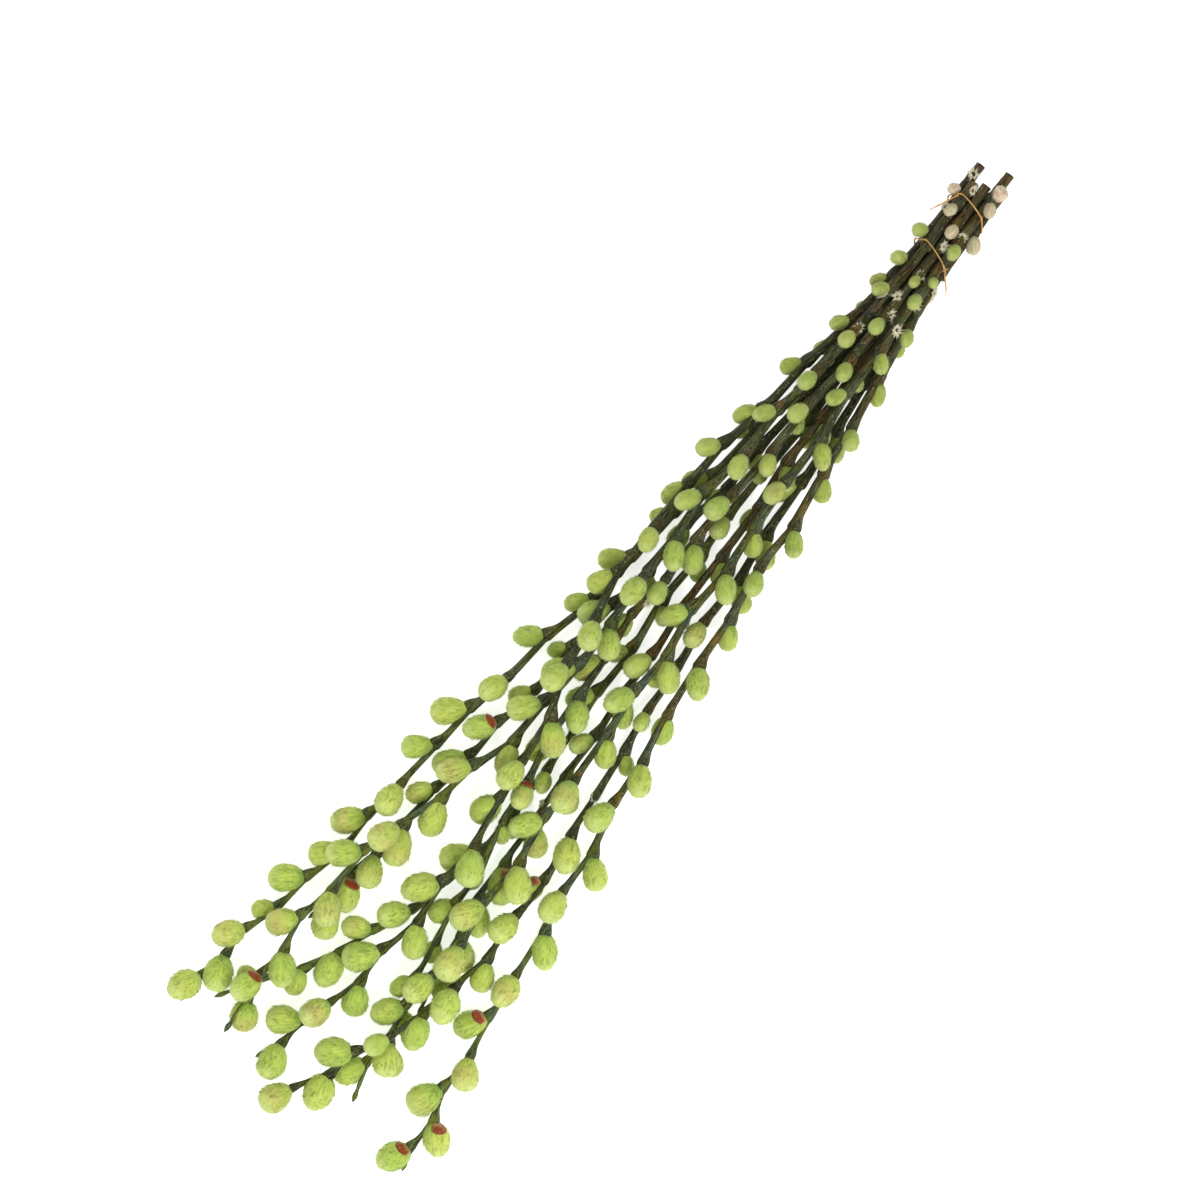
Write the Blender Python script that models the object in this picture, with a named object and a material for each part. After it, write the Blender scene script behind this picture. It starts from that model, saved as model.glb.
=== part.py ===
"""A tied bunch of ten pussy willow twigs with their catkins, lying on a flat surface.

Metres, +Z up. +X runs along the bunch from the cut ends to the tips, and +Y to the side.
Each twig is one grown body: a tapering stem with its catkins. Two thin strands tie the stems near
the cut ends. The surface that the bunch lies on is Z = 0, and the origin is under its middle.
Distances along the bunch are measured from the plane of the cut ends.
"""

import math
import random
from collections import namedtuple

import bmesh
import bpy
import numpy as np
from mathutils import Matrix, Vector

MM = 0.001

# A twig's side and height are given at stations, and worked out at slices between them
STATION = 60 * MM
SLICE = 10 * MM
LAST_SLICE = 60
MIDDLE_X = 292.7 * MM
MIDDLE_Y = -2.8 * MM

STEM_BASE_RADIUS = 2.6 * MM
STEM_TIP_RADIUS = 1.3 * MM
STEM_TAPER = 1.3
ZIGZAG = 1.2 * MM
WANDER = 1.4 * MM
WANDER_WAVES = (70 * MM, 120 * MM)
BARE_TIP = 7 * MM

# Stems lie in three rows where they are tied
ROW_PITCH = 5.75 * MM
ROW_LOW = 7.2 * MM
ROW_RISE = ROW_PITCH * math.sin(math.radians(60))
TIED_TO = 62 * MM

# Room kept round each stem for its catkins, and the lowest that a stem may run
CATKIN_ROOM = 3.5 * MM
ROOM_FROM = 70 * MM
ROOM_TO = 190 * MM
STEM_FLOOR = 7.0 * MM
CLEAR = 0.4 * MM

# Crossing stems push each other apart, mostly upwards, while they are drawn back to their own lines
SETTLE_ROUNDS = 500
PUSH_UP = 0.35
PUSH_SIDE = 0.10
PULL_BACK = 0.04
SINK = 0.03
STIFFNESS = 0.25

# Catkin length and width by the distance from the cut ends: they grow larger towards the tips
CATKIN_PLACES = (0, 60 * MM, 200 * MM, 420 * MM, 600 * MM)
CATKIN_LENGTHS = (9.5 * MM, 10.0 * MM, 14.5 * MM, 18.5 * MM, 17.5 * MM)
CATKIN_WIDTHS = (8.0 * MM, 8.6 * MM, 11.4 * MM, 14.6 * MM, 13.6 * MM)
SIZE_SPREAD = 0.07
CATKIN_STEPS = (27 * MM, 30 * MM, 28 * MM, 24 * MM, 20 * MM)
TIP_STEP = 0.72
TIP_RUN = 130 * MM
STEP_SPREAD = 0.12
CATKIN_LEAN = 35
LEAN_SPREAD = 5
CATKIN_SEAT = 0.6
FIRST_CATKIN = 14 * MM
SPIRAL = 152
SPIRAL_SPREAD = 14
SEED = 7

# A catkin that would touch a neighbour is turned round its stem, or made smaller, until it fits
SIZES_TRIED = (1.0, 0.9, 0.8, 0.7, 0.62)
TURNS_TRIED = (0, 22, -22, 44, -44, 66, -66, 90, -90, 115, -115, 140, -140, 165, -165)
OWN_OVERLAP = 1.0 * MM
DIP = 0.6 * MM
STEM_SAMPLE = 3 * MM
STRAND_SAMPLES = 5
CATKIN_BALLS = ((0.3, 0.9), (0.5, 1.0), (0.7, 0.99))
NO_TWIG = -1
ANY_GAP = -1.0

# A catkin is fuller towards its free end: place and width of its two rings, as shares of the whole
CATKIN_SIDES = 6
CATKIN_BANDS = 3
LOWER_RING = (0.25, 0.84)
UPPER_RING = (0.77, 1.0)

# Two strands of dried straw, each with a knot and one loose tail
STRAND = 0.95 * MM
STRAND_GAP = 0.35 * MM
STRAND_POINTS = 20
KNOT_RADIUS = 0.9 * MM
KNOT_LONG = 1.4
KNOT_LIFT = 0.4 * MM

WELD = 0.02 * MM
SMOOTH_ANGLE = 50
CUTTER_LENGTH = 700 * MM
CUTTER_WIDTH = 300 * MM
CUTTER_DEPTH = 10 * MM

Twig = namedtuple("Twig", "name start tip turn sides heights")

LOW = ROW_LOW / MM
MID = (ROW_LOW + ROW_RISE) / MM
TOP = (ROW_LOW + 2 * ROW_RISE) / MM
SIDE_1 = ROW_PITCH / 2 / MM
SIDE_2 = ROW_PITCH / MM
SIDE_3 = ROW_PITCH * 1.5 / MM

# Sides and heights are in millimetres, one for every station along the bunch
TWIGS = (
    Twig("twig_01", 0 * MM, 575 * MM, 80,
         (-SIDE_3, -SIDE_3, -15, -24, -31, -26, -10, -3, -3, -13, -34),
         (MID, MID, 13, 16, 19, 24, 25, 19, 12, 9, 8)),
    Twig("twig_02", 7.5 * MM, 539 * MM, 20,
         (0, 0, -2, -8, -12, -11, -7, 4, 11, 24, 40),
         (TOP, TOP, 18, 19, 19, 16, 15, 16, 13, 9, 8)),
    Twig("twig_03", 9 * MM, 572 * MM, 200,
         (-SIDE_2, -SIDE_2, -9, -16, -22, -31, -45, -52, -55, -72, -74),
         (LOW, LOW, 8, 8, 8, 8, 8, 8, 8, 8, 8)),
    Twig("twig_04", 11 * MM, 504 * MM, 300,
         (-SIDE_1, -SIDE_1, -6, -12, -18, -23, -28, -36, -44, -52, -60),
         (MID, MID, 12, 11, 10, 9, 9, 8, 8, 8, 8)),
    Twig("twig_05", 10 * MM, 574 * MM, 330,
         (-SIDE_2, -SIDE_2, -9, -15, -17, -15, -16, -34, -51, -48, -44),
         (TOP, TOP, 18, 20, 20, 18, 17, 18, 17, 14, 10)),
    Twig("twig_06", 12 * MM, 564 * MM, 150,
         (0, 0, 1, 1, -2, 0, 2, 5, -9, -42, -86),
         (LOW, LOW, 8, 8, 8, 8, 8, 8, 8, 8, 8)),
    Twig("twig_07", 9 * MM, 510 * MM, 260,
         (SIDE_1, SIDE_1, 4, 4, 6, 8, 12, 12, 17, 34, 50),
         (MID, MID, 13, 12, 10, 9, 9, 9, 9, 8, 8)),
    Twig("twig_08", -4 * MM, 563 * MM, 45,
         (SIDE_2, SIDE_2, 7, 10, 12, 14, 16, 18, 22, 17, 38),
         (TOP, TOP, 18, 19, 19, 19, 19, 19, 17, 12, 8)),
    Twig("twig_09", 5 * MM, 586 * MM, 120,
         (SIDE_2, SIDE_2, 12, 18, 20, 24, 29, 36, 37, 14, -10),
         (LOW, LOW, 8, 8, 8, 8, 8, 9, 14, 20, 12)),
    Twig("twig_10", 8 * MM, 576 * MM, 290,
         (SIDE_3, SIDE_3, 16, 24, 27, 31, 40, 48, 55, 61, 70),
         (MID, MID, 14, 15, 15, 13, 9, 8, 8, 8, 8)),
)

# A tie's place along the bunch, its slants across and upwards, its knot's side and its tail
Tie = namedtuple("Tie", "name place slant rake knot_angle tail")
TIES = (
    Tie("tie_upper", 24.5 * MM, 0.18, 0.42, 146,
        ((6, -2.5, 0.5), (10, -4.5, 0), (14, -6.5, -1.2))),
    Tie("tie_lower", 53.0 * MM, 0.30, 0.30, 38,
        ((4, 3, 1.2), (7, 6.0, 0.5), (9.5, 8, -1.2))),
)
TIE_MIDDLE = ROW_LOW + ROW_RISE


def curve_value(values, place):
    """Value on a smooth curve through evenly spaced values, at a place counted in their steps."""
    last = len(values) - 1
    k = int(min(max(place, 0), last - 1))
    f = place - k
    a = values[max(k - 1, 0)]
    b = values[k]
    c = values[k + 1]
    d = values[min(k + 2, last)]
    bend = (2 * a - 5 * b + 4 * c - d) * f * f + (3 * b - a - 3 * c + d) * f ** 3
    return 0.5 * (2 * b + (c - a) * f + bend)


def looseness(distance):
    """0 where the stems are tied, rising to 1 where they have room."""
    return float(np.interp(distance, (ROOM_FROM, ROOM_TO), (0, 1)))


def stem_radius(twig, distance):
    """Radius of a stem at a distance from the cut ends."""
    part = min(max((distance - twig.start) / (twig.tip - twig.start), 0), 1)
    return STEM_BASE_RADIUS + (STEM_TIP_RADIUS - STEM_BASE_RADIUS) * part ** STEM_TAPER


def settle_stems():
    """Middle lines of all stems, slice by slice, lifted over each other where they cross."""
    draw = random.Random(SEED)
    slices = np.arange(LAST_SLICE + 1) * SLICE
    plan = np.array([[curve_value(t.sides, s / STATION) for s in slices] for t in TWIGS]) * MM
    rise = np.array([[curve_value(t.heights, s / STATION) for s in slices] for t in TWIGS]) * MM
    loose = np.array([looseness(s) for s in slices])
    for line in plan:
        wave = draw.uniform(*WANDER_WAVES)
        phase = draw.uniform(0, 2 * math.pi)
        line += WANDER * loose * np.sin(2 * math.pi * slices / wave + phase)
    room = CLEAR / 2 + (CATKIN_ROOM - CLEAR / 2) * loose
    reach = np.array([[stem_radius(t, s) for s in slices] for t in TWIGS]) + room
    here = np.array([[t.start <= s <= t.tip + SLICE for s in slices] for t in TWIGS])
    need = reach[:, None] + reach[None]
    both = here[:, None] & here[None] & ~np.eye(len(TWIGS), dtype=bool)[:, :, None]
    tied = slices < TIED_TO
    plan[:, tied] = plan[:, :1]
    side = plan.copy()
    height = rise.copy()
    for _ in range(SETTLE_ROUNDS):
        dy = side[:, None] - side[None]
        dz = height[:, None] - height[None]
        gap = np.sqrt(dy * dy + dz * dz) + 0.001 * MM
        short = np.clip(need - gap, 0, None) * both
        height += PUSH_UP * (short * dz / gap).sum(axis=1)
        side += PUSH_SIDE * (short * dy / gap).sum(axis=1)
        side += PULL_BACK * (plan - side)
        height -= SINK * (height - rise)
        for line in (side, height):
            line[:, 1:-1] += STIFFNESS * (line[:, :-2] + line[:, 2:] - 2 * line[:, 1:-1])
        height = np.maximum(height, STEM_FLOOR)
        side[:, tied] = plan[:, tied]
        height[:, tied] = rise[:, tied]
    return list(zip(np.round(side, 5), np.round(height, 5)))


def line_point(line, distance):
    """Point of a settled middle line at a distance from the cut ends."""
    side, height = line
    place = distance / SLICE
    y = curve_value(side, place) - MIDDLE_Y
    return Vector((distance - MIDDLE_X, y, curve_value(height, place)))


Node = namedtuple("Node", "place point grow up across turn size lean")


def stem_nodes(twig, line, draw):
    """Nodes of a stem, one for each catkin: the stem bends a little to and fro between them."""
    nodes = []
    place = twig.start + FIRST_CATKIN + draw.uniform(0, 0.5) * CATKIN_STEPS[0]
    turn = twig.turn
    while place < twig.tip - BARE_TIP:
        turn += SPIRAL + draw.uniform(-SPIRAL_SPREAD, SPIRAL_SPREAD)
        size = 1 + draw.uniform(-SIZE_SPREAD, SIZE_SPREAD)
        lean = math.radians(CATKIN_LEAN + draw.uniform(-LEAN_SPREAD, LEAN_SPREAD))
        ahead = line_point(line, place + SLICE / 2)
        grow = (ahead - line_point(line, place - SLICE / 2)).normalized()
        up = (Vector((0, 0, 1)) - grow * grow.z).normalized()
        across = grow.cross(up)
        out = up * math.cos(math.radians(turn)) + across * math.sin(math.radians(turn))
        point = line_point(line, place) + out * ZIGZAG * looseness(place)
        nodes.append(Node(place, point, grow, up, across, turn, size, lean))
        closer = float(np.interp(twig.tip - place, (0, TIP_RUN), (TIP_STEP, 1)))
        step = float(np.interp(place, CATKIN_PLACES, CATKIN_STEPS)) * closer
        place += step * (1 + draw.uniform(-STEP_SPREAD, STEP_SPREAD))
    return nodes


def stem_path(twig, line, nodes):
    """Points of a stem from its cut end to its tip, each with the distance and the radius there."""
    path = [(twig.start, line_point(line, twig.start))]
    path += [(node.place, node.point) for node in nodes]
    path.append((twig.tip, line_point(line, twig.tip)))
    return [(place, point, stem_radius(twig, place)) for place, point in path]


def path_at(path, distance):
    """Point and radius on a stem's path, which is straight from each of its points to the next."""
    for (place_a, a, radius_a), (place_b, b, radius_b) in zip(path, path[1:]):
        if distance <= place_b or place_b == path[-1][0]:
            f = (distance - place_a) / (place_b - place_a)
            return a.lerp(b, f), radius_a + (radius_b - radius_a) * f


TieShape = namedtuple("TieShape", "loop knot tail")


def tie_shape(tie, paths):
    """Middle line of a strand round the stems, the middle of its knot, and its loose tail."""
    def place_on(point):
        return tie.place + tie.slant * point.y - tie.rake * (point.z - TIE_MIDDLE)
    rings = []
    for path in paths:
        at, radius = path_at(path, tie.place)
        at, radius = path_at(path, place_on(at))
        rings.append((at, radius + STRAND_GAP + STRAND / 2))
    loop = []
    for k in range(STRAND_POINTS):
        angle = 2 * math.pi * k / STRAND_POINTS
        out = Vector((0, math.cos(angle), math.sin(angle)))
        at, reach = max(rings, key=lambda ring: ring[0].dot(out) + ring[1])
        point = at + out * reach
        point.x = place_on(point) - MIDDLE_X
        loop.append(point)
    angle = math.radians(tie.knot_angle)
    nearest = loop[round(tie.knot_angle / 360 * STRAND_POINTS)]
    knot = nearest + Vector((0, math.cos(angle), math.sin(angle))) * KNOT_LIFT
    steps = ((0, 0, 0),) + tie.tail
    tail = []
    for k in range(2 * (len(steps) - 1) + 1):
        step = Vector([curve_value([at[axis] for at in steps], k / 2) for axis in range(3)])
        tail.append(knot + step * MM)
    return TieShape(loop, knot, tail)


class Room:
    """Balls of space that pieces fill, each with the number of the twig that owns it."""

    def __init__(self):
        self.points = np.zeros((0, 3))
        self.radii = np.zeros(0)
        self.owners = np.zeros(0, dtype=int)

    def fill(self, balls, owner):
        self.points = np.vstack([self.points, [centre for centre, _ in balls]])
        self.radii = np.append(self.radii, [radius for _, radius in balls])
        self.owners = np.append(self.owners, [owner] * len(balls))

    def is_clear(self, balls, owner, own_gap):
        """True where balls stay clear of every other owner's, and of their own by own_gap."""
        allowed = np.where(self.owners == owner, own_gap, CLEAR)
        for centre, radius in balls:
            gaps = np.linalg.norm(self.points - np.array(centre), axis=1) - self.radii - radius
            if (gaps < allowed).any():
                return False
        return True


Catkin = namedtuple("Catkin", "twig place base axis out length radius")


def catkin_balls(catkin):
    """Balls that fill a catkin, to test its distance from other pieces."""
    return [(catkin.base + catkin.axis * catkin.length * place, catkin.radius * full)
            for place, full in CATKIN_BALLS]


def catkin_at(number, node, radius_there, extra, smaller):
    """Catkin on a node, turned further round the stem and made smaller than the rule says."""
    angle = math.radians(node.turn + extra)
    out = node.up * math.cos(angle) + node.across * math.sin(angle)
    axis = node.grow * math.cos(node.lean) + out * math.sin(node.lean)
    size = node.size * smaller
    length = float(np.interp(node.place, CATKIN_PLACES, CATKIN_LENGTHS)) * size
    radius = float(np.interp(node.place, CATKIN_PLACES, CATKIN_WIDTHS)) * size / 2
    base = node.point + out * radius_there * CATKIN_SEAT
    return Catkin(number, node.place, base, axis, out, length, radius)


def place_catkins(all_nodes, paths, shapes):
    """Catkins in a spiral up each stem, each turned or made smaller until it lies clear."""
    stems = Room()
    fur = Room()
    for number, path in enumerate(paths):
        steps = int((path[-1][0] - path[0][0]) / STEM_SAMPLE)
        stems.fill([path_at(path, path[0][0] + k * STEM_SAMPLE) for k in range(steps)], number)
    for shape in shapes:
        runs = list(zip(shape.loop, shape.loop[1:] + shape.loop[:1]))
        runs += list(zip(shape.tail, shape.tail[1:]))
        points = [a.lerp(b, k / STRAND_SAMPLES) for a, b in runs for k in range(STRAND_SAMPLES + 1)]
        stems.fill([(point, STRAND) for point in points], NO_TWIG)
    catkins = []
    bare = []
    order = sorted(range(len(TWIGS)), key=lambda n: -sum(TWIGS[n].heights))
    trials = [(extra, smaller) for smaller in SIZES_TRIED for extra in TURNS_TRIED]
    for number in order:
        for node in all_nodes[number]:
            radius_there = stem_radius(TWIGS[number], node.place)
            for extra, smaller in trials:
                catkin = catkin_at(number, node, radius_there, extra, smaller)
                balls = catkin_balls(catkin)
                low = min(centre.z - radius for centre, radius in balls)
                if low < -DIP or not stems.is_clear(balls, number, ANY_GAP):
                    continue
                if fur.is_clear(balls, number, -OWN_OVERLAP):
                    catkins.append(catkin)
                    fur.fill(balls, number)
                    break
            else:
                bare.append((number, node))
    return catkins, bare


def plain_material(name, colour, roughness):
    """Principled material with one colour."""
    material = bpy.data.materials.new(name)
    material.use_nodes = True
    shader = material.node_tree.nodes["Principled BSDF"]
    shader.inputs["Base Color"].default_value = (*colour, 1)
    shader.inputs["Roughness"].default_value = roughness
    shader.inputs["Metallic"].default_value = 0
    return material


def new_collection(name):
    """Collection linked to the scene."""
    collection = bpy.data.collections.new(name)
    bpy.context.scene.collection.children.link(collection)
    return collection


def tube_object(name, points, radii, closed, collection):
    """Mesh object of a tube along points, from a bevelled curve with its caps welded."""
    curve = bpy.data.curves.new(name, "CURVE")
    curve.dimensions = "3D"
    curve.bevel_depth = 1.0
    curve.bevel_resolution = 1
    curve.use_fill_caps = True
    spline = curve.splines.new("POLY")
    spline.points.add(len(points) - 1)
    for spot, point, radius in zip(spline.points, points, radii):
        spot.co = (*point, 1)
        spot.radius = radius
    spline.use_cyclic_u = closed
    guide = bpy.data.objects.new(name + "_guide", curve)
    collection.objects.link(guide)
    bpy.context.view_layer.update()
    graph = bpy.context.evaluated_depsgraph_get()
    mesh = bpy.data.meshes.new_from_object(guide.evaluated_get(graph))
    tube = bpy.data.objects.new(name, mesh)
    tube.matrix_world = guide.matrix_world
    collection.objects.link(tube)
    bpy.data.objects.remove(guide)
    bm = bmesh.new()
    bm.from_mesh(mesh)
    bmesh.ops.remove_doubles(bm, verts=bm.verts, dist=WELD)
    bmesh.ops.recalc_face_normals(bm, faces=bm.faces)
    bm.to_mesh(mesh)
    bm.free()
    return tube


def catkin_object(name, catkin, material, collection):
    """Egg-shaped catkin on its axis, from a low sphere."""
    bm = bmesh.new()
    bmesh.ops.create_uvsphere(bm, u_segments=CATKIN_SIDES, v_segments=CATKIN_BANDS, radius=1)
    for vert in bm.verts:
        ring_radius = math.hypot(vert.co.x, vert.co.y)
        place = 0 if vert.co.z < 0 else 1
        if ring_radius > 0.1:
            place, full = LOWER_RING if vert.co.z < 0 else UPPER_RING
            vert.co.x *= catkin.radius * full / ring_radius
            vert.co.y *= catkin.radius * full / ring_radius
        vert.co.z = place * catkin.length
    turn = catkin.axis.to_track_quat("Z", "Y").to_matrix().to_4x4()
    bm.transform(Matrix.Translation(catkin.base) @ turn)
    mesh = bpy.data.meshes.new(name)
    bm.to_mesh(mesh)
    bm.free()
    mesh.materials.append(material)
    obj = bpy.data.objects.new(name, mesh)
    collection.objects.link(obj)
    return obj


def bake_modifiers(obj):
    """Turn an object's modifiers into its mesh."""
    bpy.context.view_layer.update()
    graph = bpy.context.evaluated_depsgraph_get()
    mesh = bpy.data.meshes.new_from_object(obj.evaluated_get(graph))
    obj.modifiers.clear()
    obj.data = mesh


def join_all(obj, pieces):
    """Unite an object with all objects of a collection, which are then removed."""
    joint = obj.modifiers.new("join", "BOOLEAN")
    joint.operation = "UNION"
    joint.operand_type = "COLLECTION"
    joint.collection = pieces
    joint.solver = "EXACT"
    bake_modifiers(obj)
    for piece in list(pieces.objects):
        bpy.data.objects.remove(piece)
    bpy.data.collections.remove(pieces)


def make_twig(number, path, catkins, bunch, cutter, bark, fur):
    """One grown twig: its stem with the catkins joined to it, flat where it touches the surface."""
    name = TWIGS[number].name
    stem = tube_object(name, [point for _, point, _ in path], [radius for _, _, radius in path],
                       False, bunch)
    stem.data.materials.append(bark)
    pieces = new_collection(name + "_catkins")
    own = [catkin for catkin in catkins if catkin.twig == number]
    for k, catkin in enumerate(own):
        catkin_object(f"{name}_catkin_{k}", catkin, fur, pieces)
    join_all(stem, pieces)
    if min(vert.co.z for vert in stem.data.vertices) < 0:
        cut = stem.modifiers.new("rest", "BOOLEAN")
        cut.operation = "DIFFERENCE"
        cut.object = cutter
        cut.solver = "EXACT"
        bake_modifiers(stem)
    stem.data.set_sharp_from_angle(angle=math.radians(SMOOTH_ANGLE))


def make_tie(name, shape, bunch, straw):
    """One strand round the stems, with a small knot and one loose tail."""
    ring = tube_object(name, shape.loop, [STRAND / 2] * len(shape.loop), True, bunch)
    ring.data.materials.append(straw)
    pieces = new_collection(name + "_pieces")
    bm = bmesh.new()
    bmesh.ops.create_uvsphere(bm, u_segments=6, v_segments=4, radius=KNOT_RADIUS)
    bm.transform(Matrix.Translation(shape.knot) @ Matrix.Diagonal((KNOT_LONG, 1, 1, 1)))
    mesh = bpy.data.meshes.new(name + "_knot")
    bm.to_mesh(mesh)
    bm.free()
    pieces.objects.link(bpy.data.objects.new(name + "_knot", mesh))
    tube_object(name + "_tail", shape.tail, [STRAND / 2] * len(shape.tail), False, pieces)
    join_all(ring, pieces)


def surface_cutter(cutters):
    """Block whose top is the surface, to cut the lowest catkins flat where they press on it."""
    bpy.ops.mesh.primitive_cube_add(size=1, location=(0, 0, -CUTTER_DEPTH / 2))
    cutter = bpy.context.object
    cutter.name = "surface_cutter"
    cutter.dimensions = (CUTTER_LENGTH, CUTTER_WIDTH, CUTTER_DEPTH)
    bpy.ops.object.transform_apply(location=False, rotation=False, scale=True)
    cutter.hide_render = True
    cutter.display_type = "WIRE"
    for home in list(cutter.users_collection):
        home.objects.unlink(cutter)
    cutters.objects.link(cutter)
    return cutter


def main():
    for obj in list(bpy.data.objects):
        bpy.data.objects.remove(obj)
    bunch = new_collection("willow_bunch")
    cutter = surface_cutter(new_collection("cutters"))
    bark = plain_material("bark", (0.075, 0.085, 0.045), 0.6)
    fur = plain_material("catkin", (0.42, 0.56, 0.13), 0.9)
    straw = plain_material("strand", (0.55, 0.38, 0.14), 0.6)

    lines = settle_stems()
    draw = random.Random(SEED)
    all_nodes = [stem_nodes(twig, line, draw) for twig, line in zip(TWIGS, lines)]
    paths = [stem_path(*three) for three in zip(TWIGS, lines, all_nodes)]
    shapes = [tie_shape(tie, paths) for tie in TIES]
    catkins, _ = place_catkins(all_nodes, paths, shapes)
    for number, path in enumerate(paths):
        make_twig(number, path, catkins, bunch, cutter, bark, fur)
    for tie, shape in zip(TIES, shapes):
        make_tie(tie.name, shape, bunch, straw)


main()
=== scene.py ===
"""Looks for a tied bunch of ten pussy willow twigs: bark, ties, catkins, bud scales and tufts.

Metres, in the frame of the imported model. Distances along the bunch are measured from the plane of
the cut ends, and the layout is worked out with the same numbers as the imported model's.
"""

import math
import random
from collections import namedtuple

import bmesh
import bpy
import numpy as np
from mathutils import Matrix, Vector, noise


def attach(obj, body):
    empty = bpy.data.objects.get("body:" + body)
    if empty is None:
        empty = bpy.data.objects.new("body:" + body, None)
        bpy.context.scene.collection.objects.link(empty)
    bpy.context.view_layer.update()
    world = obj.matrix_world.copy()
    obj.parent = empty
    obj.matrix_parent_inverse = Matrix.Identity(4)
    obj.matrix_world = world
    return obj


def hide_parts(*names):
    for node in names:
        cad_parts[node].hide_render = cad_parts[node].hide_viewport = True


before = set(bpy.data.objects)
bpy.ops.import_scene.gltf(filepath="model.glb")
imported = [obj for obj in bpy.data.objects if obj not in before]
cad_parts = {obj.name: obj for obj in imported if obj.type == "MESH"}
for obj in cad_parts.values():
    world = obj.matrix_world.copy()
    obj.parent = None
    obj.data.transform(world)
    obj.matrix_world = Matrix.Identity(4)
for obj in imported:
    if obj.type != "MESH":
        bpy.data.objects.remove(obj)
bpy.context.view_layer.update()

# Camera: the bunch lies on a pale table and is seen from straight above, cut ends at the upper
# right and tips at the lower left, from far enough away that nothing looks foreshortened.
MM = 0.001
VIEW_MIDDLE = Vector((-3.8 * MM, -25.4 * MM, 10 * MM))
VIEW_TALL = 600 * MM
VIEW_TURN = 127.4
LENS = 100
FILM = 36
SEEN_TO = 20

lens = bpy.data.cameras.new("camera")
lens.lens = LENS
lens.sensor_fit = "VERTICAL"
lens.sensor_height = FILM
lens.clip_end = SEEN_TO
camera = bpy.data.objects.new("camera", lens)
camera.location = VIEW_MIDDLE + Vector((0, 0, VIEW_TALL * LENS / FILM))
camera.rotation_euler = (0, 0, math.radians(VIEW_TURN))
bpy.context.scene.collection.objects.link(camera)
bpy.context.scene.camera = camera

# Stems: ten cut willow rods, from 5 mm thick at the cut to 2.6 mm at the tip, in thin dark bark
# over green wood. Each runs a little zigzag, and below every catkin it swells into a cup. They
# grew like this, were cut with secateurs and lie over each other as they were tied.
STATION = 60 * MM
SLICE = 10 * MM
LAST_SLICE = 60
MIDDLE_X = 292.7 * MM
MIDDLE_Y = -2.8 * MM

STEM_BASE_RADIUS = 2.6 * MM
STEM_TIP_RADIUS = 1.3 * MM
STEM_TAPER = 1.3
ZIGZAG = 1.2 * MM
WANDER = 1.4 * MM
WANDER_WAVES = (70 * MM, 120 * MM)
BARE_TIP = 7 * MM

ROW_PITCH = 5.75 * MM
ROW_LOW = 7.2 * MM
ROW_RISE = ROW_PITCH * math.sin(math.radians(60))
TIED_TO = 62 * MM

CATKIN_ROOM = 3.5 * MM
ROOM_FROM = 70 * MM
ROOM_TO = 190 * MM
STEM_FLOOR = 7.0 * MM
CLEAR = 0.4 * MM
TINY = 0.001 * MM

SETTLE_ROUNDS = 500
PUSH_UP = 0.35
PUSH_SIDE = 0.10
PULL_BACK = 0.04
SINK = 0.03
STIFFNESS = 0.25

CATKIN_PLACES = (0, 60 * MM, 200 * MM, 420 * MM, 600 * MM)
CATKIN_LENGTHS = (9.5 * MM, 10.0 * MM, 14.5 * MM, 18.5 * MM, 17.5 * MM)
CATKIN_WIDTHS = (8.0 * MM, 8.6 * MM, 11.4 * MM, 14.6 * MM, 13.6 * MM)
SIZE_SPREAD = 0.07
CATKIN_STEPS = (27 * MM, 30 * MM, 28 * MM, 24 * MM, 20 * MM)
TIP_STEP = 0.72
TIP_RUN = 130 * MM
STEP_SPREAD = 0.12
CATKIN_LEAN = 35
LEAN_SPREAD = 5
CATKIN_SEAT = 0.6
FIRST_CATKIN = 14 * MM
SPIRAL = 152
SPIRAL_SPREAD = 14
SEED = 7

SIZES_TRIED = (1.0, 0.9, 0.8, 0.7, 0.62)
TURNS_TRIED = (0, 22, -22, 44, -44, 66, -66, 90, -90, 115, -115, 140, -140, 165, -165)
OWN_OVERLAP = 1.0 * MM
DIP = 0.6 * MM
STEM_SAMPLE = 3 * MM
STRAND_SAMPLES = 5
CATKIN_BALLS = ((0.3, 0.9), (0.5, 1.0), (0.7, 0.99))
NO_TWIG = -1
ANY_GAP = -1.0

STRAND = 0.95 * MM
STRAND_GAP = 0.35 * MM
STRAND_POINTS = 20
KNOT_LIFT = 0.4 * MM

Twig = namedtuple("Twig", "name start tip turn sides heights")

LOW = ROW_LOW / MM
MID = (ROW_LOW + ROW_RISE) / MM
TOP = (ROW_LOW + 2 * ROW_RISE) / MM
SIDE_1 = ROW_PITCH / 2 / MM
SIDE_2 = ROW_PITCH / MM
SIDE_3 = ROW_PITCH * 1.5 / MM

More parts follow.
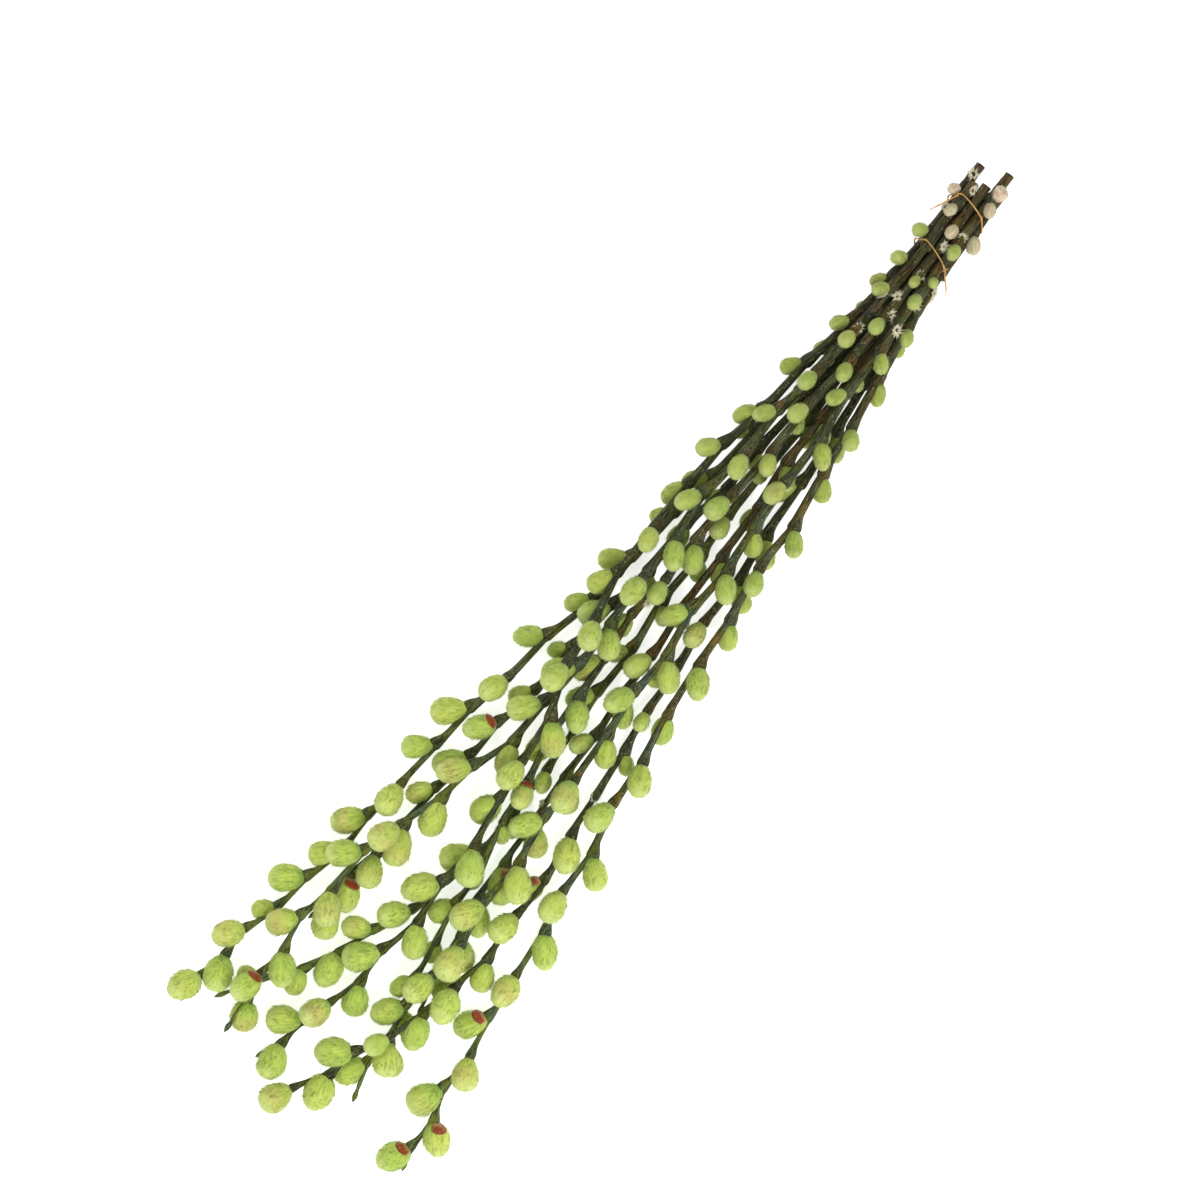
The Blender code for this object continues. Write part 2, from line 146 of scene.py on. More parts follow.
# Sides and heights are in millimetres, one for every station along the bunch
TWIGS = (
    Twig("twig_01", 0 * MM, 575 * MM, 80,
         (-SIDE_3, -SIDE_3, -15, -24, -31, -26, -10, -3, -3, -13, -34),
         (MID, MID, 13, 16, 19, 24, 25, 19, 12, 9, 8)),
    Twig("twig_02", 7.5 * MM, 539 * MM, 20,
         (0, 0, -2, -8, -12, -11, -7, 4, 11, 24, 40),
         (TOP, TOP, 18, 19, 19, 16, 15, 16, 13, 9, 8)),
    Twig("twig_03", 9 * MM, 572 * MM, 200,
         (-SIDE_2, -SIDE_2, -9, -16, -22, -31, -45, -52, -55, -72, -74),
         (LOW, LOW, 8, 8, 8, 8, 8, 8, 8, 8, 8)),
    Twig("twig_04", 11 * MM, 504 * MM, 300,
         (-SIDE_1, -SIDE_1, -6, -12, -18, -23, -28, -36, -44, -52, -60),
         (MID, MID, 12, 11, 10, 9, 9, 8, 8, 8, 8)),
    Twig("twig_05", 10 * MM, 574 * MM, 330,
         (-SIDE_2, -SIDE_2, -9, -15, -17, -15, -16, -34, -51, -48, -44),
         (TOP, TOP, 18, 20, 20, 18, 17, 18, 17, 14, 10)),
    Twig("twig_06", 12 * MM, 564 * MM, 150,
         (0, 0, 1, 1, -2, 0, 2, 5, -9, -42, -86),
         (LOW, LOW, 8, 8, 8, 8, 8, 8, 8, 8, 8)),
    Twig("twig_07", 9 * MM, 510 * MM, 260,
         (SIDE_1, SIDE_1, 4, 4, 6, 8, 12, 12, 17, 34, 50),
         (MID, MID, 13, 12, 10, 9, 9, 9, 9, 8, 8)),
    Twig("twig_08", -4 * MM, 563 * MM, 45,
         (SIDE_2, SIDE_2, 7, 10, 12, 14, 16, 18, 22, 17, 38),
         (TOP, TOP, 18, 19, 19, 19, 19, 19, 17, 12, 8)),
    Twig("twig_09", 5 * MM, 586 * MM, 120,
         (SIDE_2, SIDE_2, 12, 18, 20, 24, 29, 36, 37, 14, -10),
         (LOW, LOW, 8, 8, 8, 8, 8, 9, 14, 20, 12)),
    Twig("twig_10", 8 * MM, 576 * MM, 290,
         (SIDE_3, SIDE_3, 16, 24, 27, 31, 40, 48, 55, 61, 70),
         (MID, MID, 14, 15, 15, 13, 9, 8, 8, 8, 8)),
)

# A tie's place along the bunch, its slants across and upwards, its knot's side and its tail
Tie = namedtuple("Tie", "name place slant rake knot_angle tail")
TIES = (
    Tie("tie_upper", 24.5 * MM, 0.18, 0.42, 146,
        ((6, -2.5, 0.5), (10, -4.5, 0), (14, -6.5, -1.2))),
    Tie("tie_lower", 53.0 * MM, 0.30, 0.30, 38,
        ((4, 3, 1.2), (7, 6.0, 0.5), (9.5, 8, -1.2))),
)
TIE_MIDDLE = ROW_LOW + ROW_RISE


def curve_value(values, place):
    """Value on a smooth curve through evenly spaced values, at a place counted in their steps."""
    last = len(values) - 1
    k = int(min(max(place, 0), last - 1))
    f = place - k
    a = values[max(k - 1, 0)]
    b = values[k]
    c = values[k + 1]
    d = values[min(k + 2, last)]
    bend = (2 * a - 5 * b + 4 * c - d) * f * f + (3 * b - a - 3 * c + d) * f ** 3
    return 0.5 * (2 * b + (c - a) * f + bend)


def looseness(distance):
    """0 where the stems are tied, rising to 1 where they have room."""
    return float(np.interp(distance, (ROOM_FROM, ROOM_TO), (0, 1)))


def stem_radius(twig, distance):
    """Radius of a stem at a distance from the cut ends."""
    part = min(max((distance - twig.start) / (twig.tip - twig.start), 0), 1)
    return STEM_BASE_RADIUS + (STEM_TIP_RADIUS - STEM_BASE_RADIUS) * part ** STEM_TAPER


def settle_stems():
    """Middle lines of all stems, slice by slice, lifted over each other where they cross."""
    draw = random.Random(SEED)
    slices = np.arange(LAST_SLICE + 1) * SLICE
    plan = np.array([[curve_value(t.sides, s / STATION) for s in slices] for t in TWIGS]) * MM
    rise = np.array([[curve_value(t.heights, s / STATION) for s in slices] for t in TWIGS]) * MM
    loose = np.array([looseness(s) for s in slices])
    for line in plan:
        wave = draw.uniform(*WANDER_WAVES)
        phase = draw.uniform(0, 2 * math.pi)
        line += WANDER * loose * np.sin(2 * math.pi * slices / wave + phase)
    room = CLEAR / 2 + (CATKIN_ROOM - CLEAR / 2) * loose
    reach = np.array([[stem_radius(t, s) for s in slices] for t in TWIGS]) + room
    here = np.array([[t.start <= s <= t.tip + SLICE for s in slices] for t in TWIGS])
    need = reach[:, None] + reach[None]
    both = here[:, None] & here[None] & ~np.eye(len(TWIGS), dtype=bool)[:, :, None]
    tied = slices < TIED_TO
    plan[:, tied] = plan[:, :1]
    side = plan.copy()
    height = rise.copy()
    for _ in range(SETTLE_ROUNDS):
        dy = side[:, None] - side[None]
        dz = height[:, None] - height[None]
        gap = np.sqrt(dy * dy + dz * dz) + TINY
        short = np.clip(need - gap, 0, None) * both
        height += PUSH_UP * (short * dz / gap).sum(axis=1)
        side += PUSH_SIDE * (short * dy / gap).sum(axis=1)
        side += PULL_BACK * (plan - side)
        height -= SINK * (height - rise)
        for line in (side, height):
            line[:, 1:-1] += STIFFNESS * (line[:, :-2] + line[:, 2:] - 2 * line[:, 1:-1])
        height = np.maximum(height, STEM_FLOOR)
        side[:, tied] = plan[:, tied]
        height[:, tied] = rise[:, tied]
    return list(zip(np.round(side, 5), np.round(height, 5)))


def line_point(line, distance):
    """Point of a settled middle line at a distance from the cut ends."""
    side, height = line
    place = distance / SLICE
    y = curve_value(side, place) - MIDDLE_Y
    return Vector((distance - MIDDLE_X, y, curve_value(height, place)))


def across_axes(grow):
    """The two directions across a stem: its upper side, and the side to the left of it."""
    up = (Vector((0, 0, 1)) - grow * grow.z).normalized()
    return up, grow.cross(up)


def turned(up, across, degrees):
    """Direction across a stem, turned from its upper side by an angle."""
    angle = math.radians(degrees)
    return up * math.cos(angle) + across * math.sin(angle)


Node = namedtuple("Node", "place point grow up across turn size lean")


def stem_nodes(twig, line, draw):
    """Nodes of a stem, one for each catkin: the stem bends a little to and fro between them."""
    nodes = []
    place = twig.start + FIRST_CATKIN + draw.uniform(0, 0.5) * CATKIN_STEPS[0]
    turn = twig.turn
    while place < twig.tip - BARE_TIP:
        turn += SPIRAL + draw.uniform(-SPIRAL_SPREAD, SPIRAL_SPREAD)
        size = 1 + draw.uniform(-SIZE_SPREAD, SIZE_SPREAD)
        lean = math.radians(CATKIN_LEAN + draw.uniform(-LEAN_SPREAD, LEAN_SPREAD))
        ahead = line_point(line, place + SLICE / 2)
        grow = (ahead - line_point(line, place - SLICE / 2)).normalized()
        up, across = across_axes(grow)
        point = line_point(line, place) + turned(up, across, turn) * ZIGZAG * looseness(place)
        nodes.append(Node(place, point, grow, up, across, turn, size, lean))
        closer = float(np.interp(twig.tip - place, (0, TIP_RUN), (TIP_STEP, 1)))
        step = float(np.interp(place, CATKIN_PLACES, CATKIN_STEPS)) * closer
        place += step * (1 + draw.uniform(-STEP_SPREAD, STEP_SPREAD))
    return nodes


def stem_path(twig, line, nodes):
    """Points of a stem from its cut end to its tip, each with the distance and the radius there."""
    path = [(twig.start, line_point(line, twig.start))]
    path += [(node.place, node.point) for node in nodes]
    path.append((twig.tip, line_point(line, twig.tip)))
    return [(place, point, stem_radius(twig, place)) for place, point in path]


def path_at(path, distance):
    """Point and radius on a stem's path, which is straight from each of its points to the next."""
    for (place_a, a, radius_a), (place_b, b, radius_b) in zip(path, path[1:]):
        if distance <= place_b or place_b == path[-1][0]:
            f = (distance - place_a) / (place_b - place_a)
            return a.lerp(b, f), radius_a + (radius_b - radius_a) * f


TieShape = namedtuple("TieShape", "loop knot tail")


def tie_shape(tie, paths):
    """Middle line of a strand round the stems, the middle of its knot, and its loose tail."""
    def place_on(point):
        return tie.place + tie.slant * point.y - tie.rake * (point.z - TIE_MIDDLE)
    rings = []
    for path in paths:
        at, radius = path_at(path, tie.place)
        at, radius = path_at(path, place_on(at))
        rings.append((at, radius + STRAND_GAP + STRAND / 2))
    loop = []
    for k in range(STRAND_POINTS):
        angle = 2 * math.pi * k / STRAND_POINTS
        out = Vector((0, math.cos(angle), math.sin(angle)))
        at, reach = max(rings, key=lambda ring: ring[0].dot(out) + ring[1])
        point = at + out * reach
        point.x = place_on(point) - MIDDLE_X
        loop.append(point)
    angle = math.radians(tie.knot_angle)
    nearest = loop[round(tie.knot_angle / 360 * STRAND_POINTS)]
    knot = nearest + Vector((0, math.cos(angle), math.sin(angle))) * KNOT_LIFT
    steps = ((0, 0, 0),) + tie.tail
    tail = []
    for k in range(2 * (len(steps) - 1) + 1):
        step = Vector([curve_value([at[axis] for at in steps], k / 2) for axis in range(3)])
        tail.append(knot + step * MM)
    return TieShape(loop, knot, tail)


class Room:
    """Balls of space that pieces fill, each with the number of the twig that owns it."""

    def __init__(self):
        self.points = np.zeros((0, 3))
        self.radii = np.zeros(0)
        self.owners = np.zeros(0, dtype=int)

    def fill(self, balls, owner):
        self.points = np.vstack([self.points, [centre for centre, _ in balls]])
        self.radii = np.append(self.radii, [radius for _, radius in balls])
        self.owners = np.append(self.owners, [owner] * len(balls))

    def is_clear(self, balls, owner, own_gap):
        """True where balls stay clear of every other owner's, and of their own by own_gap."""
        allowed = np.where(self.owners == owner, own_gap, CLEAR)
        for centre, radius in balls:
            gaps = np.linalg.norm(self.points - np.array(centre), axis=1) - self.radii - radius
            if (gaps < allowed).any():
                return False
        return True


Catkin = namedtuple("Catkin", "twig place base axis out length radius")


def catkin_balls(catkin):
    """Balls that fill a catkin, to test its distance from other pieces."""
    return [(catkin.base + catkin.axis * catkin.length * place, catkin.radius * full)
            for place, full in CATKIN_BALLS]


def catkin_at(number, node, radius_there, extra, smaller):
    """Catkin on a node, turned further round the stem and made smaller than the rule says."""
    out = turned(node.up, node.across, node.turn + extra)
    axis = node.grow * math.cos(node.lean) + out * math.sin(node.lean)
    size = node.size * smaller
    length = float(np.interp(node.place, CATKIN_PLACES, CATKIN_LENGTHS)) * size
    radius = float(np.interp(node.place, CATKIN_PLACES, CATKIN_WIDTHS)) * size / 2
    base = node.point + out * radius_there * CATKIN_SEAT
    return Catkin(number, node.place, base, axis, out, length, radius)


def place_catkins(all_nodes, paths, shapes):
    """Catkins in a spiral up each stem, each turned or made smaller until it lies clear."""
    stems = Room()
    fur = Room()
    for number, path in enumerate(paths):
        steps = int((path[-1][0] - path[0][0]) / STEM_SAMPLE)
        stems.fill([path_at(path, path[0][0] + k * STEM_SAMPLE) for k in range(steps)], number)
    for shape in shapes:
        runs = list(zip(shape.loop, shape.loop[1:] + shape.loop[:1]))
        runs += list(zip(shape.tail, shape.tail[1:]))
        points = [a.lerp(b, k / STRAND_SAMPLES) for a, b in runs for k in range(STRAND_SAMPLES + 1)]
        stems.fill([(point, STRAND) for point in points], NO_TWIG)
    catkins = []
    bare = []
    order = sorted(range(len(TWIGS)), key=lambda n: -sum(TWIGS[n].heights))
    trials = [(extra, smaller) for smaller in SIZES_TRIED for extra in TURNS_TRIED]
    for number in order:
        for node in all_nodes[number]:
            radius_there = stem_radius(TWIGS[number], node.place)
            for extra, smaller in trials:
                catkin = catkin_at(number, node, radius_there, extra, smaller)
                balls = catkin_balls(catkin)
                low = min(centre.z - radius for centre, radius in balls)
                if low < -DIP or not stems.is_clear(balls, number, ANY_GAP):
                    continue
                if fur.is_clear(balls, number, -OWN_OVERLAP):
                    catkins.append(catkin)
                    fur.fill(balls, number)
                    break
            else:
                bare.append((number, node))
    return catkins, bare


lines = settle_stems()
growth = random.Random(SEED)
all_nodes = [stem_nodes(twig, line, growth) for twig, line in zip(TWIGS, lines)]
paths = [stem_path(*three) for three in zip(TWIGS, lines, all_nodes)]
tie_shapes = [tie_shape(tie, paths) for tie in TIES]
catkins, bare_nodes = place_catkins(all_nodes, paths, tie_shapes)

RUSTY_TWIGS = {"twig_07": 1, "twig_02": 0.4, "twig_10": 0.5}
BARK_SIDES = 14
BEND_EASE = 3 * MM
RINGS_BY_NODE = (-10, -7.5, -5.5, -4, -2.8, -1.8, -1.0, -0.3, 0.4, 1.1, 2, 3.4, 6)
RINGS_BY_CUT = (0, 0.5, 2.5, 5, 8)
RINGS_BY_TIP = (-9, -7, -5.4, -4, -2.4, -1, 0)
TIP_BUD = (0.9, 0.72, 0.85, 1.12, 1.0, 0.6, 0.12)
RING_GAP = 0.35 * MM
CUP_RUN = 10 * MM
CUP_SUDDEN = 1.5
CUP_LIP = 2.2 * MM
CUP_REACH = 0.42
CUP_TIED = 0.35
BARE_CUP = 1.1 * MM
CUP_NARROW = 1.5
CUP_SWELL = 0.20
WAIST = 0.24
WAIST_RUN = 15 * MM
KNOBBLES = 0.10
KNOBBLES_TIED = 0.20
KNOBBLE_SIZE = 3.5 * MM
KNOBBLES_ROUND = 0.8
CUP_FULL = 1.5 * MM
SHADE_FIRST = 0.05
SHADE_STEP = 0.37
CUT_SLANT = 0.7 * MM
CUT_WORN = 0.87
BARK_THICK = 0.32 * MM
PITH = 1.15 * MM
PITH_SUNK = 0.25 * MM
ROD_SHIFT = 0.9


def smooth_step(value):
    """0 to 1 with soft ends, for a value from 0 to 1."""
    value = min(max(value, 0), 1)
    return value * value * (3 - 2 * value)


def from_tied(tied, loose, distance):
    """One value where the stems are tied, and another where they have room."""
    return tied + (loose - tied) * looseness(distance)


def ring_frame(path, distance):
    """Middle, direction and two cross directions of a stem, with its bends eased."""
    def eased(place):
        before = path_at(path, place - BEND_EASE)[0]
        after = path_at(path, place + BEND_EASE)[0]
        return (before + after + path_at(path, place)[0] * 2) / 4
    grow = (eased(distance + MM) - eased(distance - MM)).normalized()
    return eased(distance), grow, *across_axes(grow)


Cup = namedtuple("Cup", "place out reach")


def stem_cups(number):
    """Cups of a stem: where each is, the side that it is on and how far it stands out."""
    cups = [Cup(c.place, c.out, c.radius * CUP_REACH * from_tied(CUP_TIED, 1, c.place))
            for c in catkins if c.twig == number]
    for owner, node in bare_nodes:
        if owner == number:
            out = turned(node.up, node.across, node.turn)
            cups.append(Cup(node.place, out, BARE_CUP * from_tied(CUP_TIED, 1, node.place)))
    return sorted(cups)


def cup_rise(distance, place):
    """How full a cup is at a distance: it swells slowly up to its place and ends short after it."""
    ahead = distance - place
    if ahead < 0:
        return smooth_step(1 + ahead / CUP_RUN) ** CUP_SUDDEN
    return smooth_step(1 - ahead / CUP_LIP)


def new_bmesh(*colours):
    """Empty bmesh whose vertices hold their place on their rod, and the named colours."""
    bm = bmesh.new()
    bm.verts.layers.float_vector.new("rod")
    for name in colours:
        bm.verts.layers.float_color.new(name)
    return bm


def as_mesh(bm, name):
    """Mesh with a bmesh's shape."""
    mesh = bpy.data.meshes.new(name)
    bm.to_mesh(mesh)
    bm.free()
    return mesh


def rolled_grid(bm, sides, rings, vertex_at):
    """Grid rolled up into a tube and joined along its seam: vertex_at puts each of its vertices."""
    made = bmesh.ops.create_grid(bm, x_segments=sides, y_segments=rings - 1, size=0.5)["verts"]
    for vert in made:
        ring = round((vert.co.y + 0.5) * (rings - 1))
        vertex_at(vert, ring, vert.co.x + 0.5)
    bmesh.ops.remove_doubles(bm, verts=made, dist=TINY)


def stem_rings(twig, cups):
    """Distances of a stem's rings: close together at its cups, its cut and its tip."""
    wanted = [twig.start + step * MM for step in RINGS_BY_CUT]
    wanted += [cup.place + step * MM for cup in cups for step in RINGS_BY_NODE]
    wanted = [place for place in wanted if place < twig.tip + RINGS_BY_TIP[0] * MM - RING_GAP]
    wanted += [twig.tip + step * MM for step in RINGS_BY_TIP]
    rings = []
    for place in sorted(wanted):
        if place >= twig.start and (not rings or place - rings[-1] > RING_GAP):
            rings.append(place)
    return rings


def make_stem(number):
    """One stem as a mesh, with its cups, its sawn end and its rounded tip."""
    twig = TWIGS[number]
    path = paths[number]
    cups = stem_cups(number)
    rings = stem_rings(twig, cups)
    frames = [ring_frame(path, place) for place in rings]
    shade = (number * SHADE_STEP + SHADE_FIRST) % 1
    rusty = RUSTY_TWIGS.get(twig.name, 0)
    bm = new_bmesh("stem")
    rod = bm.verts.layers.float_vector["rod"]
    stem = bm.verts.layers.float_color["stem"]

    def vertex_at(vert, ring, turn):
        distance = rings[ring]
        middle, grow, up, across = frames[ring]
        angle = 2 * math.pi * turn
        out = up * math.cos(angle) + across * math.sin(angle)
        radius = stem_radius(twig, distance)
        near = [cup for cup in cups if -CUP_RUN < distance - cup.place < WAIST_RUN]
        lift = 0
        for cup in near:
            rise = cup_rise(distance, cup.place)
            facing = max(out.dot(cup.out), 0) ** CUP_NARROW
            waist = 1 - (distance - cup.place) / WAIST_RUN if distance > cup.place else 0
            radius *= (1 + CUP_SWELL * rise) * (1 - WAIST * waist * smooth_step(
                (distance - cup.place) / CUP_LIP))
            lift = max(lift, cup.reach * rise * facing)
        beside = out * KNOBBLES_ROUND
        rough = noise.noise(Vector((0, 0, distance + number)) / KNOBBLE_SIZE + beside)
        knobbles = from_tied(KNOBBLES_TIED, KNOBBLES, distance)
        reach = radius * (1 + knobbles * rough) + lift
        from_tip = len(rings) - 1 - ring
        if from_tip < len(TIP_BUD):
            reach *= TIP_BUD[-1 - from_tip]
        if ring == 0:
            reach *= CUT_WORN
            middle = middle + grow * CUT_SLANT * (1 + math.cos(angle + number))
        vert.co = middle + out * reach
        flat = reach * math.cos(angle), reach * math.sin(angle)
        vert[rod] = (*flat, distance + number * ROD_SHIFT)
        along = (distance - twig.start) / (twig.tip - twig.start)
        vert[stem] = (along, shade, lift / CUP_FULL, rusty)

    rolled_grid(bm, BARK_SIDES, len(rings), vertex_at)
    ends = [edge for edge in bm.edges if edge.is_boundary]
    caps = bmesh.ops.holes_fill(bm, edges=ends, sides=BARK_SIDES)["faces"]
    cut = min(caps, key=lambda face: face.calc_center_median().x)
    cut.material_index = 1
    bmesh.ops.inset_individual(bm, faces=[cut], thickness=BARK_THICK)
    bmesh.ops.inset_individual(bm, faces=[cut], thickness=PITH, depth=-PITH_SUNK)
    bmesh.ops.recalc_face_normals(bm, faces=bm.faces)
    for face in bm.faces:
        face.smooth = face.material_index == 0
    return as_mesh(bm, twig.name + "_bark")


def add(tree, kind, inputs=None, **settings):
    """Node in a tree, with its settings, and with each input set or linked to another's output."""
    made = tree.nodes.new("ShaderNode" + kind)
    for name, value in settings.items():
        setattr(made, name, value)
    for name, value in (inputs or {}).items():
        if isinstance(value, bpy.types.NodeSocket):
            tree.links.new(value, made.inputs[name])
        else:
            made.inputs[name].default_value = value
    return made


def mixed(tree, amount, first, second):
    """Colour between two others by an amount: a Mix node's sockets 0, 6 and 7 are for colours."""
    mix = add(tree, "Mix", data_type="RGBA")
    for place, value in ((0, amount), (6, first), (7, second)):
        if isinstance(value, bpy.types.NodeSocket):
            tree.links.new(value, mix.inputs[place])
        elif place == 0:
            mix.inputs[place].default_value = value
        else:
            mix.inputs[place].default_value = (*value, 1)
    return mix.outputs[2]


def ranged(tree, value, low, high, to_low=0.0, to_high=1.0):
    """Value spread smoothly from one range to another, and held at its ends."""
    spread = add(tree, "MapRange", {"Value": value, "From Min": low, "From Max": high,
                                    "To Min": to_low, "To Max": to_high},
                 interpolation_type="SMOOTHSTEP")
    return spread.outputs["Result"]


def product(tree, first, second):
    """One value times another."""
    return add(tree, "Math", {0: first, 1: second}, operation="MULTIPLY").outputs[0]


def total(tree, first, *others):
    """Sum of several values."""
    for other in others:
        first = add(tree, "Math", {0: first, 1: other}, operation="ADD").outputs[0]
    return first


def scaled(tree, vector, by):
    """Vector times another."""
    return add(tree, "VectorMath", {0: vector, 1: by}, operation="MULTIPLY").outputs[0]


def new_material(name, **constants):
    """Principled material, its node tree and its shader, with constant values on the shader."""
    material = bpy.data.materials.new(name)
    material.use_nodes = True
    shader = material.node_tree.nodes["Principled BSDF"]
    for socket, value in constants.items():
        shader.inputs[socket.replace("_", " ")].default_value = value
    return material, material.node_tree, shader


def finish(tree, shader, colour, roughness, relief, strength, depth):
    """Link a material's colour, its roughness and its fine relief of a depth to its shader."""
    tree.links.new(colour, shader.inputs["Base Color"])
    tree.links.new(roughness, shader.inputs["Roughness"])
    bump = add(tree, "Bump", {"Strength": strength, "Distance": depth, "Height": relief})
    tree.links.new(bump.outputs["Normal"], shader.inputs["Normal"])


def place_on_rod(tree):
    """Place on a rod, a straw or a catkin, with its length on the third axis."""
    return add(tree, "Attribute", attribute_name="rod").outputs["Vector"]


def parts_of(tree, name):
    """Red, green, blue and alpha of a piece's own attribute, each as a value."""
    made = add(tree, "Attribute", attribute_name=name)
    parts = add(tree, "SeparateColor", {"Color": made.outputs["Color"]})
    return *parts.outputs, made.outputs["Alpha"]


def effect_group(name, inputs, output):
    """Empty node group with float inputs after its Vector, and one float output."""
    group = bpy.data.node_groups.new(name, "ShaderNodeTree")
    group.interface.new_socket("Vector", in_out="INPUT", socket_type="NodeSocketVector")
    for title, value in inputs:
        socket = group.interface.new_socket(title, in_out="INPUT", socket_type="NodeSocketFloat")
        socket.default_value = value
    group.interface.new_socket(output, in_out="OUTPUT", socket_type="NodeSocketFloat")
    return group, group.nodes.new("NodeGroupInput"), group.nodes.new("NodeGroupOutput")


def grain_group():
    """Fine lines that run along a stem, a straw or a catkin."""
    group, given, out = effect_group("long_grain", (("Fineness", 1500), ("Length", 12)), "Line")
    shorter = add(group, "Math", {0: given.outputs["Fineness"], 1: given.outputs["Length"]},
                  operation="DIVIDE")
    scale = add(group, "CombineXYZ", {0: given.outputs["Fineness"], 1: given.outputs["Fineness"],
                                      2: shorter.outputs[0]})
    drawn = scaled(group, given.outputs["Vector"], scale.outputs[0])
    lines = add(group, "TexNoise", {"Vector": drawn, "Scale": 1, "Detail": 3, "Roughness": 0.6})
    group.links.new(ranged(group, lines.outputs["Fac"], 0.3, 0.7), out.inputs["Line"])
    return group


PATCH_SOFT = 0.12


def patch_group():
    """Soft patches with clear middles, wide across and longer along the grain."""
    group, given, out = effect_group("patches", (("Scale", 40), ("Share", 0.5)), "Patch")
    cloud = add(group, "TexNoise", {"Vector": given.outputs["Vector"],
                                    "Scale": given.outputs["Scale"], "Detail": 2})
    rest = add(group, "Math", {0: 1.0, 1: given.outputs["Share"]}, operation="SUBTRACT").outputs[0]
    low = total(group, rest, -PATCH_SOFT)
    high = total(group, rest, PATCH_SOFT)
    group.links.new(ranged(group, cloud.outputs["Fac"], low, high), out.inputs["Patch"])
    return group


GRAIN = grain_group()
PATCHES = patch_group()


def effect(tree, group, vector, **values):
    """Effect group placed in a material, with its own values: gives its output."""
    made = add(tree, "Group", node_tree=group)
    tree.links.new(vector, made.inputs["Vector"])
    for title, value in values.items():
        made.inputs[title].default_value = value
    return made.outputs[0]


def patchy(tree, vector, scale, share, measure, *spread):
    """Amount for a tint that lies in patches, more or less of it as a measure goes."""
    patches = effect(tree, PATCHES, vector, Scale=scale, Share=share)
    return product(tree, patches, ranged(tree, measure, *spread))


def layered(tree, colour, *layers):
    """Colour with tints laid over it one by one, each by its own amount."""
    for tint, amount in layers:
        colour = mixed(tree, amount, colour, tint)
    return colour


BARK_BLACK = (0.013, 0.011, 0.005)
BARK_SLATE = (0.052, 0.078, 0.036)
BARK_BROWN = (0.085, 0.048, 0.017)
BARK_RUST = (0.210, 0.066, 0.014)
BARK_OLIVE = (0.115, 0.142, 0.012)
BARK_GREEN = (0.185, 0.250, 0.028)
BARK_THREAD = (0.200, 0.200, 0.040)
BARK_DRIED = (0.170, 0.085, 0.035)
BARK_TAN = (0.230, 0.105, 0.024)
BARK_BLUE = (0.068, 0.118, 0.088)
LENTICEL = (0.300, 0.250, 0.140)
CRACK = (0.006, 0.005, 0.003)
SPECK_SPACING = (430, 430, 560)


def bark_material():
    """Wrinkled bark: black-brown with slate, brown and rusty stretches, greener to the tip."""
    material, tree, shader = new_material("bark", Specular_IOR_Level=0.18)
    rod = place_on_rod(tree)
    along, shade, cup, rusty = parts_of(tree, "stem")
    folds = effect(tree, GRAIN, rod, Fineness=950, Length=9)
    wrinkles = effect(tree, GRAIN, rod, Fineness=2100, Length=14)
    threads = effect(tree, GRAIN, rod, Fineness=4200, Length=22)
    middle = product(tree, ranged(tree, along, 0.10, 0.30, 0.2, 0.75),
                     ranged(tree, along, 0.80, 0.50))
    colour = layered(
        tree, BARK_BLACK,
        (BARK_SLATE, patchy(tree, rod, 95, 0.58, along, 0.0, 0.22, 0.35, 1.0)),
        (BARK_BROWN, patchy(tree, rod, 120, 0.46, shade, 0.0, 1.0, 0.35, 0.9)),
        (BARK_BROWN, ranged(tree, along, 0.24, 0.04, 0.0, 0.75)),
        (BARK_OLIVE, patchy(tree, rod, 60, 0.55, along, 0.05, 0.80, 0.30, 0.95)),
        (BARK_RUST, patchy(tree, rod, 88, 0.36, along, 1.0, 0.2, 0.45, 0.75)),
        (BARK_TAN, product(tree, rusty, middle)),
        (BARK_RUST, patchy(tree, rod, 75, 0.42, cup, 0.1, 0.5, 0.0, 0.8)),
        (BARK_GREEN, ranged(tree, along, 0.55, 0.92, 0.0, 0.85)),
        (BARK_BLUE, patchy(tree, rod, 66, 0.50, along, 0.10, 0.50, 0.35, 0.80)),
        (BARK_BLACK, ranged(tree, shade, 0.35, 0.10, 0.0, 0.5)),
        (BARK_OLIVE, ranged(tree, shade, 0.65, 0.90, 0.0, 0.35)),
        (BARK_BLACK, patchy(tree, rod, 50, 0.5, along, 0.8, 0.1, 0.1, 0.5)),
        (BARK_BLACK, ranged(tree, cup, 0.6, 1.4, 0.0, 0.45)),
        (BARK_DRIED, ranged(tree, along, 0.016, 0.004, 0.0, 0.6)),
        (CRACK, ranged(tree, folds, 0.50, 0.08, 0.0, 0.85)),
        (CRACK, ranged(tree, wrinkles, 0.45, 0.0, 0.0, 0.7)))
    worn = ranged(tree, along, 0.03, 0.30, 0.35, 1.0)
    dots = add(tree, "TexVoronoi", {"Vector": scaled(tree, rod, SPECK_SPACING), "Scale": 1.0})
    some = add(tree, "SeparateColor", {"Color": dots.outputs["Color"]})
    speck = product(tree, ranged(tree, dots.outputs["Distance"], 0.26, 0.13),
                    ranged(tree, some.outputs[0], 0.76, 0.82))
    colour = layered(
        tree, colour,
        (BARK_THREAD, product(tree, ranged(tree, wrinkles, 0.66, 1.0, 0.0, 0.55), worn)),
        (BARK_THREAD, product(tree, ranged(tree, threads, 0.66, 1.0, 0.0, 0.45), worn)),
        (LENTICEL, speck))
    relief = total(tree, folds, ranged(tree, wrinkles, 0, 1, 0, 0.6),
                   ranged(tree, threads, 0, 1, 0, 0.25), speck)
    finish(tree, shader, colour, ranged(tree, wrinkles, 0.0, 1.0, 0.72, 0.46), relief,
           0.9, 0.35 * MM)
    return material


